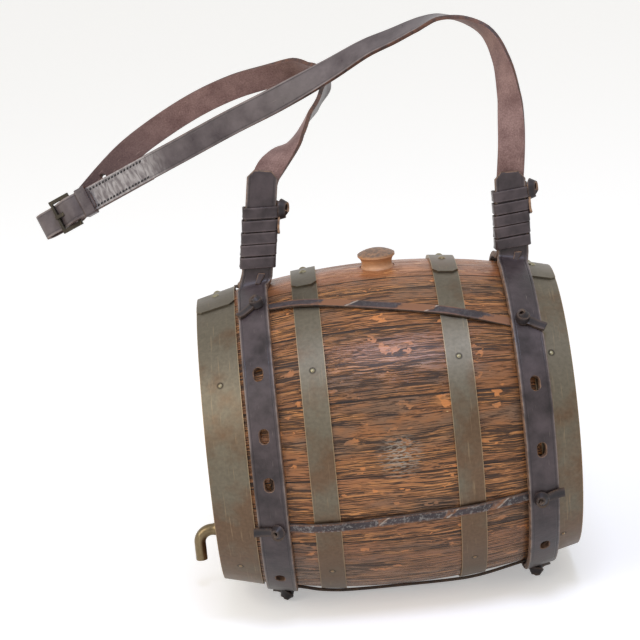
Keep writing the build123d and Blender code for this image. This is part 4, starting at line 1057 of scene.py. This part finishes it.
lashing_ring = corner_ring(
    lashing_corners, 90, lashing_side_half, -lashing_front_half, lashing_front_half, lashing_corner
)
lashing_ring.append((0, lashing_front_half, 90 + 360))
flat = [(0, lashing_front_half, 90)] + lashing_ring * lashing_turns
runs = [math.hypot(late[0] - early[0], late[1] - early[1]) for early, late in zip(flat, flat[1:])]
lashing_grain = leather_grain(
    "oiled thong leather", "#2a2222", "#564b4b", "#6f6260", lashing_half_width, crease=no_crease, roughness=0.34
)
lashing_flesh = leather_flesh("thong flesh side", "#4a3730", "#6b4f40")
lashing_edge = leather_cut_edge("thong cut edge", "#1f1716", "#43312a")
end_edge = leather_cut_edge("worn thong end", "#4a3429", "#a8825f")
for side in bands:
    start, pitch, width = bands[side]["lashing"]
    rise = lashing_turns * pitch / sum(runs)
    height = start + width / 2
    points, looks = [], []
    for index, (x, y, look) in enumerate(flat):
        uneven = lashing_slack * math.sin(slack_rate * index)
        points.append(stack_point(side, height + uneven, y) + stack_across(side) * x)
        look = math.radians(look)
        flat_look = stack_across(side) * math.cos(look) + Vector((0, math.sin(look), 0))
        looks.append(flat_look + stack_up(side) * lashing_tilt * math.sin(tilt_rate * index))
        if index < len(runs):
            height += rise * runs[index]
    stations = []
    for point, heading, look in zip(points, line_headings(points), looks):
        stations.append((point, heading.cross(look).normalized(), width))
    lashing = lay_strip(
        f"leather_lashing_{side}", stations, lashing_thickness, (lashing_grain, lashing_flesh, lashing_edge),
        columns=4, rounding=lashing_rounding,
    )
    knot_height = start + (lashing_turns - lashing_knot_back) * pitch + width / 2
    side_place = stack_point(side, knot_height, -lashing_knot_forward) + stack_across(side) * lashing_side_half
    side_turned = Matrix((Vector((0, 1, 0)), stack_up(side), stack_across(side))).transposed().to_4x4()
    knot = tie_knot(
        f"lashing_knot_{side}", Matrix.Translation(side_place) @ side_turned, lashing_knot_turn,
        (knot_grain, lashing_flesh, end_edge), size=lashing_knot_size,
    )
    end_stations = []
    for step in range(thong_end_steps + 1):
        share = step / thong_end_steps
        height = start + thong_end_tuck - thong_end_length * share
        point = stack_point(side, height, -lashing_front_half - thong_end_lift * share**2)
        drift, end_width = (
            early + (late - early) * share for early, late in (thong_end_drift, thong_end_widths)
        )
        end_stations.append((point + stack_across(side) * drift, -stack_across(side), end_width))
    thong_end = lay_strip(
        f"lashing_end_{side}", end_stations, lashing_thickness, (lashing_grain, lashing_flesh, end_edge),
        columns=3, rounding=knot_rounding,
    )
    lashing = join_pieces([lashing, knot, thong_end])
    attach(lashing, "keg")
    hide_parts(f"lashing_{side}")

# Shoulder strap
# Stiff oiled strap leather in two lengths, each held between a pair of tabs. The buckle length is folded round the
# buckle's bar. The billet comes back through the frame, over the prong and under the keeper.
fold_bar = keg_middle + Vector((-206, 117, 145)) * mm
buckle_front = Vector((-0.133, -0.958, 0.254)).normalized()
buckle_down = buckle_front.cross(Vector((-0.916, 0.021, -0.400))).normalized()
buckle_out = buckle_down.cross(buckle_front)
buckle_wire = 1.3 * mm
buckle_reach = 13 * mm
prong_width = 2.4 * mm
prong_thickness = 1.8 * mm
prong_slot_width = prong_width + 4 * stack_clearance
fold_slot_size = (12.6 * mm, prong_slot_width, 17 * mm, 1)
strap_rounding = 0.7 * mm
strap_steps = 6
fold_steps = 3
billet_hole_radius = 2 * mm
billet_hole_stops = (23, 29, 35)
tip_widths = (1, 0.97, 0.86, 0.62)
buckle_route = (
    (99, 3, 179, 0), (101, 11, 197, 20), (102, 23, 212, 40), (100, 38, 234, 58), (93, 50, 251, 66),
    (80, 58, 260, 75), (63, 64, 263, 88), (48, 69, 259, 105), (30, 73, 252, 113), (11, 77, 245, 120),
    (-16, 84, 231, 135), (-54, 94, 213, 160), (-88, 104, 198, 175), (-125, 111, 181, 175),
)
billet_route = (
    (-65, 5, 177, 0), (-57, 11, 186, 40), (-44, 29, 195, 90), (-35, 57, 202, 112), (-24, 93, 210, 118),
    (-18, 121, 218, 110), (-22, 140, 225, 80), (-36, 151, 226, 40), (-54, 156, 221, 15), (-83, 158, 215, 5),
    (-114, 157, 204, 0), (-148, 151, 187, -6), (-171, 144, 172, -12),
)
fold_line = (
    (-59.1, 1.3), (-50, 1.48), (-30, 1.48), (-15, 1.48), (-9, 1.6), (-4.5, 2.35), (0, 2.95), (2.1, 2.1), (2.95, 0),
    (2.1, -2.1), (0, -2.95), (-4.5, -2.35), (-9, -1.6), (-15, -1.48), (-30, -1.48), (-50, -1.48), (-62, -1.48),
)
billet_line = (
    (4, -16.7), (12, -16.7), (21.3, -16.7), (26, -14.8), (27.9, -10.1), (26, -5.4), (21.3, -3.5), (15, -3.5),
    (11.6, -2.7), (7, 1.55), (2.8, 5.2), (-1.5, 5.9), (-6.5, 4.75), (-11, 4.6), (-17, 4.6),
)


def in_buckle(out, front, down=0):
    """Point in the buckle's own frame, in millimetres from the middle of its bar."""
    return fold_bar + (buckle_out * out + buckle_front * front + buckle_down * down) * mm


def strap_frame(heading):
    """Directions across a strap with its flesh side to the front, and front to back."""
    flat = heading.cross(Vector((0, 1, 0))).normalized()
    return flat, (Vector((0, 1, 0)) - heading * heading.y).normalized()


def strap_stations(side, route, buckle_line, end_across):
    """Stations of the strap, up between the tabs, along its route, and on round the buckle."""
    points = [stack_point(side, bands[side]["back_top"])]
    points += [keg_middle + Vector(stop[:3]) * mm for stop in route]
    points.append(in_buckle(*buckle_line[0]))
    twists = [0] + [stop[3] for stop in route]
    flat, side_on = strap_frame(buckle_out)
    last = math.degrees(math.atan2(end_across.dot(side_on), end_across.dot(flat)))
    twists.append(twists[-1] + (last - twists[-1] + 180) % 360 - 180)
    line = smooth_line(points, strap_steps)
    stations = []
    for index, (point, heading) in enumerate(zip(line, line_headings(line))):
        stop, part = divmod(index, strap_steps)
        following = min(stop + 1, len(twists) - 1)
        twist = math.radians(twists[stop] + (twists[following] - twists[stop]) * part / strap_steps)
        flat, side_on = strap_frame(heading)
        stations.append((point, flat * math.cos(twist) + side_on * math.sin(twist), strap_width))
    foot_height = bands[side]["foot"][1]
    foot = []
    for step in range(rise_steps):
        height = foot_height + (bands[side]["back_top"] - foot_height) * step / rise_steps
        foot.append((stack_point(side, height), stations[0][1], strap_width))
    at_buckle = smooth_line([in_buckle(*stop) for stop in buckle_line], fold_steps)[1:]
    return foot + stations + [(point, end_across, strap_width) for point in at_buckle]


strap_colours = ("#4a4040", "#6c6260", "#a0928a", strap_width / 2)
strap_creases = {"crease": 1.9 * mm, "roughness": 0.34}
# The sewn part is painted pale and silvery, partly as rubbing and partly as a painted sheen.
sewn_rub_and_sheen = ("#b3aca5", 424 * mm, 494 * mm)
# The billet's flesh side is made darker towards the buckle.
darkening_run = ("#3d3030", 330 * mm, 430 * mm)
strap_grain = leather_grain("oiled bridle leather", *strap_colours, **strap_creases)
sewn_grain = leather_grain("rubbed and sheen-painted bridle leather", *strap_colours, **strap_creases, rub_and_sheen_run=sewn_rub_and_sheen)
strap_flesh = leather_flesh("bridle leather flesh side", "#6b4f48", "#94766c")
billet_flesh = leather_flesh("darkening bridle leather flesh side", "#6b4f48", "#94766c", darkening=darkening_run)
strap_edge = leather_cut_edge("bridle leather cut edge", "#2a2020", "#6a4431")

buckle_stations = strap_stations("right", buckle_route, fold_line, -buckle_down)
strap_buckle = lay_strip(
    "strap_leather_buckle_length", buckle_stations, strap_thickness, (sewn_grain, strap_flesh, strap_edge),
    rounding=strap_rounding,
)
buckle_turned = Matrix((buckle_out, buckle_down, buckle_front)).transposed().to_4x4()
buckle_placing = Matrix.Translation(fold_bar) @ buckle_turned
bpy.ops.object.select_all(action="DESELECT")
bpy.ops.mesh.primitive_cube_add(size=1)
cut_away(strap_buckle, [place_cutter(buckle_placing @ Matrix.Diagonal(fold_slot_size))])

billet_stations = strap_stations("left", billet_route, billet_line, buckle_down)
for index, share in enumerate(tip_widths, -len(tip_widths)):
    point, across, width = billet_stations[index]
    billet_stations[index] = (point, across, width * share)
strap_billet = lay_strip(
    "strap_leather_billet_length", billet_stations, strap_thickness, (strap_grain, billet_flesh, strap_edge),
    rounding=strap_rounding,
)
bpy.ops.mesh.primitive_cube_add(size=1)
slot_size = Matrix.Diagonal((buckle_reach, prong_slot_width, prong_thickness + 2 * stack_clearance, 1))
slot_middle = Matrix.Translation((buckle_reach / 2, 0, buckle_wire + prong_thickness / 2 + stack_clearance))
cutters = [place_cutter(buckle_placing @ slot_middle @ slot_size)]
# The billet's hole cutters have two equal axes, which leaves them flat, so that no round hole is punched.
for stop in billet_hole_stops:
    station = len(billet_stations) - 4 * fold_steps - stop
    point, across, width = billet_stations[station]
    heading = (billet_stations[station + 1][0] - point).normalized()
    hole_turned = Matrix((across, heading.cross(across) * -1, across.cross(heading))).transposed().to_4x4()
    bpy.ops.mesh.primitive_cylinder_add(vertices=20, radius=billet_hole_radius, depth=4 * strap_thickness)
    cutters.append(place_cutter(Matrix.Translation(point) @ hole_turned))
cut_away(strap_billet, cutters)
for piece, node in ((strap_buckle, "strap_buckle"), (strap_billet, "strap_billet")):
    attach(piece, "keg")
    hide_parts(node)

# Stitching
# Two rows of waxed linen thread sew the strap's fold shut, and show on both faces as short slanted stitches. The
# thread is nearly black, and the wax gives it a slight shine.
thread_pitch = 2.55 * mm
stitch_length = 2.1 * mm
stitch_radius = 0.7 * mm
stitch_inset = 2.6 * mm
stitch_row = (strap_width / 2 - stitch_inset) / mm
stitch_count = 19
stitch_start = -13
stitch_face = 2.94
stitch_slant = math.radians(28)
thread_twists = 900
thread, add, shader = new_material("waxed linen thread")
twist = {"Vector": add("TexCoord", output="Object"), "Scale": thread_twists, "Distortion": 2}
twist = add("TexWave", twist, "Fac")
thread_colour = add("Mix", {0: twist, 6: srgb("#120e0d"), 7: srgb("#2c2422")}, 2, data_type="RGBA")
feed(shader, {"Base Color": thread_colour, "Roughness": 0.5})
bpy.ops.object.select_all(action="DESELECT")
bpy.ops.mesh.primitive_uv_sphere_add(segments=8, ring_count=6, radius=stitch_radius)
stitches = [bpy.context.object]
stitches[0].data.materials.append(thread)
while len(stitches) < 4 * stitch_count:
    bpy.ops.object.duplicate()
    stitches.append(bpy.context.object)
slanted = Matrix.Rotation(stitch_slant, 4, "Z")
drawn_out = Matrix.Diagonal((stitch_length / stitch_radius / 2, 1, 1, 1))
for number, stitch in enumerate(stitches):
    line_number, index = divmod(number, stitch_count)
    row, face = ((-1, -1), (-1, 1), (1, -1), (1, 1))[line_number]
    out = stitch_start - index * thread_pitch / mm
    place = Matrix.Translation(in_buckle(out, face * stitch_face, row * stitch_row))
    stitch.matrix_world = place @ buckle_turned @ slanted @ drawn_out
    stitch.select_set(True)
bpy.ops.object.transform_apply(location=True, rotation=True, scale=True)
stitching = join_pieces(stitches)
stitching.name = "strap_fold_stitching"
bpy.ops.object.shade_smooth()
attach(stitching, "keg")

# Keeper and buckle
# A loop of the strap's own leather holds the billet down. The buckle is a cast brass frame with a brass prong,
# blackened with age, and worn to bare metal only at its edges.
keeper_thickness = 1.5 * mm
keeper_width = 8 * mm
keeper_rounding = 0.4 * mm
keeper_corner = 1.6
keeper_half = (strap_width / 2 + stack_clearance + keeper_thickness / 2) / mm
strap_stack = (-3.05, 6.2)
keeper_low = strap_stack[0] - keeper_thickness / 2 / mm
keeper_high = strap_stack[1] + keeper_thickness / 2 / mm
keeper_middle = -11
keeper_corners = ((1, -1), (1, 1), (-1, 1), (-1, -1))
keeper_ring = corner_ring(keeper_corners, -90, keeper_half, keeper_low, keeper_high, keeper_corner)
keeper_ring = [(0, keeper_low, -90), *keeper_ring, (0, keeper_low, 270)]
keeper_points = [in_buckle(keeper_middle, front, down) for down, front, look in keeper_ring]
keeper_stations = []
for point, heading, (down, front, look) in zip(keeper_points, line_headings(keeper_points), keeper_ring):
    facing = buckle_down * math.cos(math.radians(look)) + buckle_front * math.sin(math.radians(look))
    keeper_stations.append((point, heading.cross(facing).normalized(), keeper_width))
keeper = lay_strip(
    "strap_leather_keeper", keeper_stations, keeper_thickness, (strap_grain, strap_flesh, strap_edge), columns=4,
    rounding=keeper_rounding,
)
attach(keeper, "keg")
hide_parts("strap_keeper")
buckle_colours = ("#3d382f", "#352c25", "#8d7f62")
buckle_metal = aged_brass("blackened cast brass buckle", *buckle_colours, rub=0.35, roughness=0.4)
dress("buckle_frame", buckle_metal)
dress("buckle_prong", buckle_metal)

bpy.ops.object.select_all(action="DESELECT")
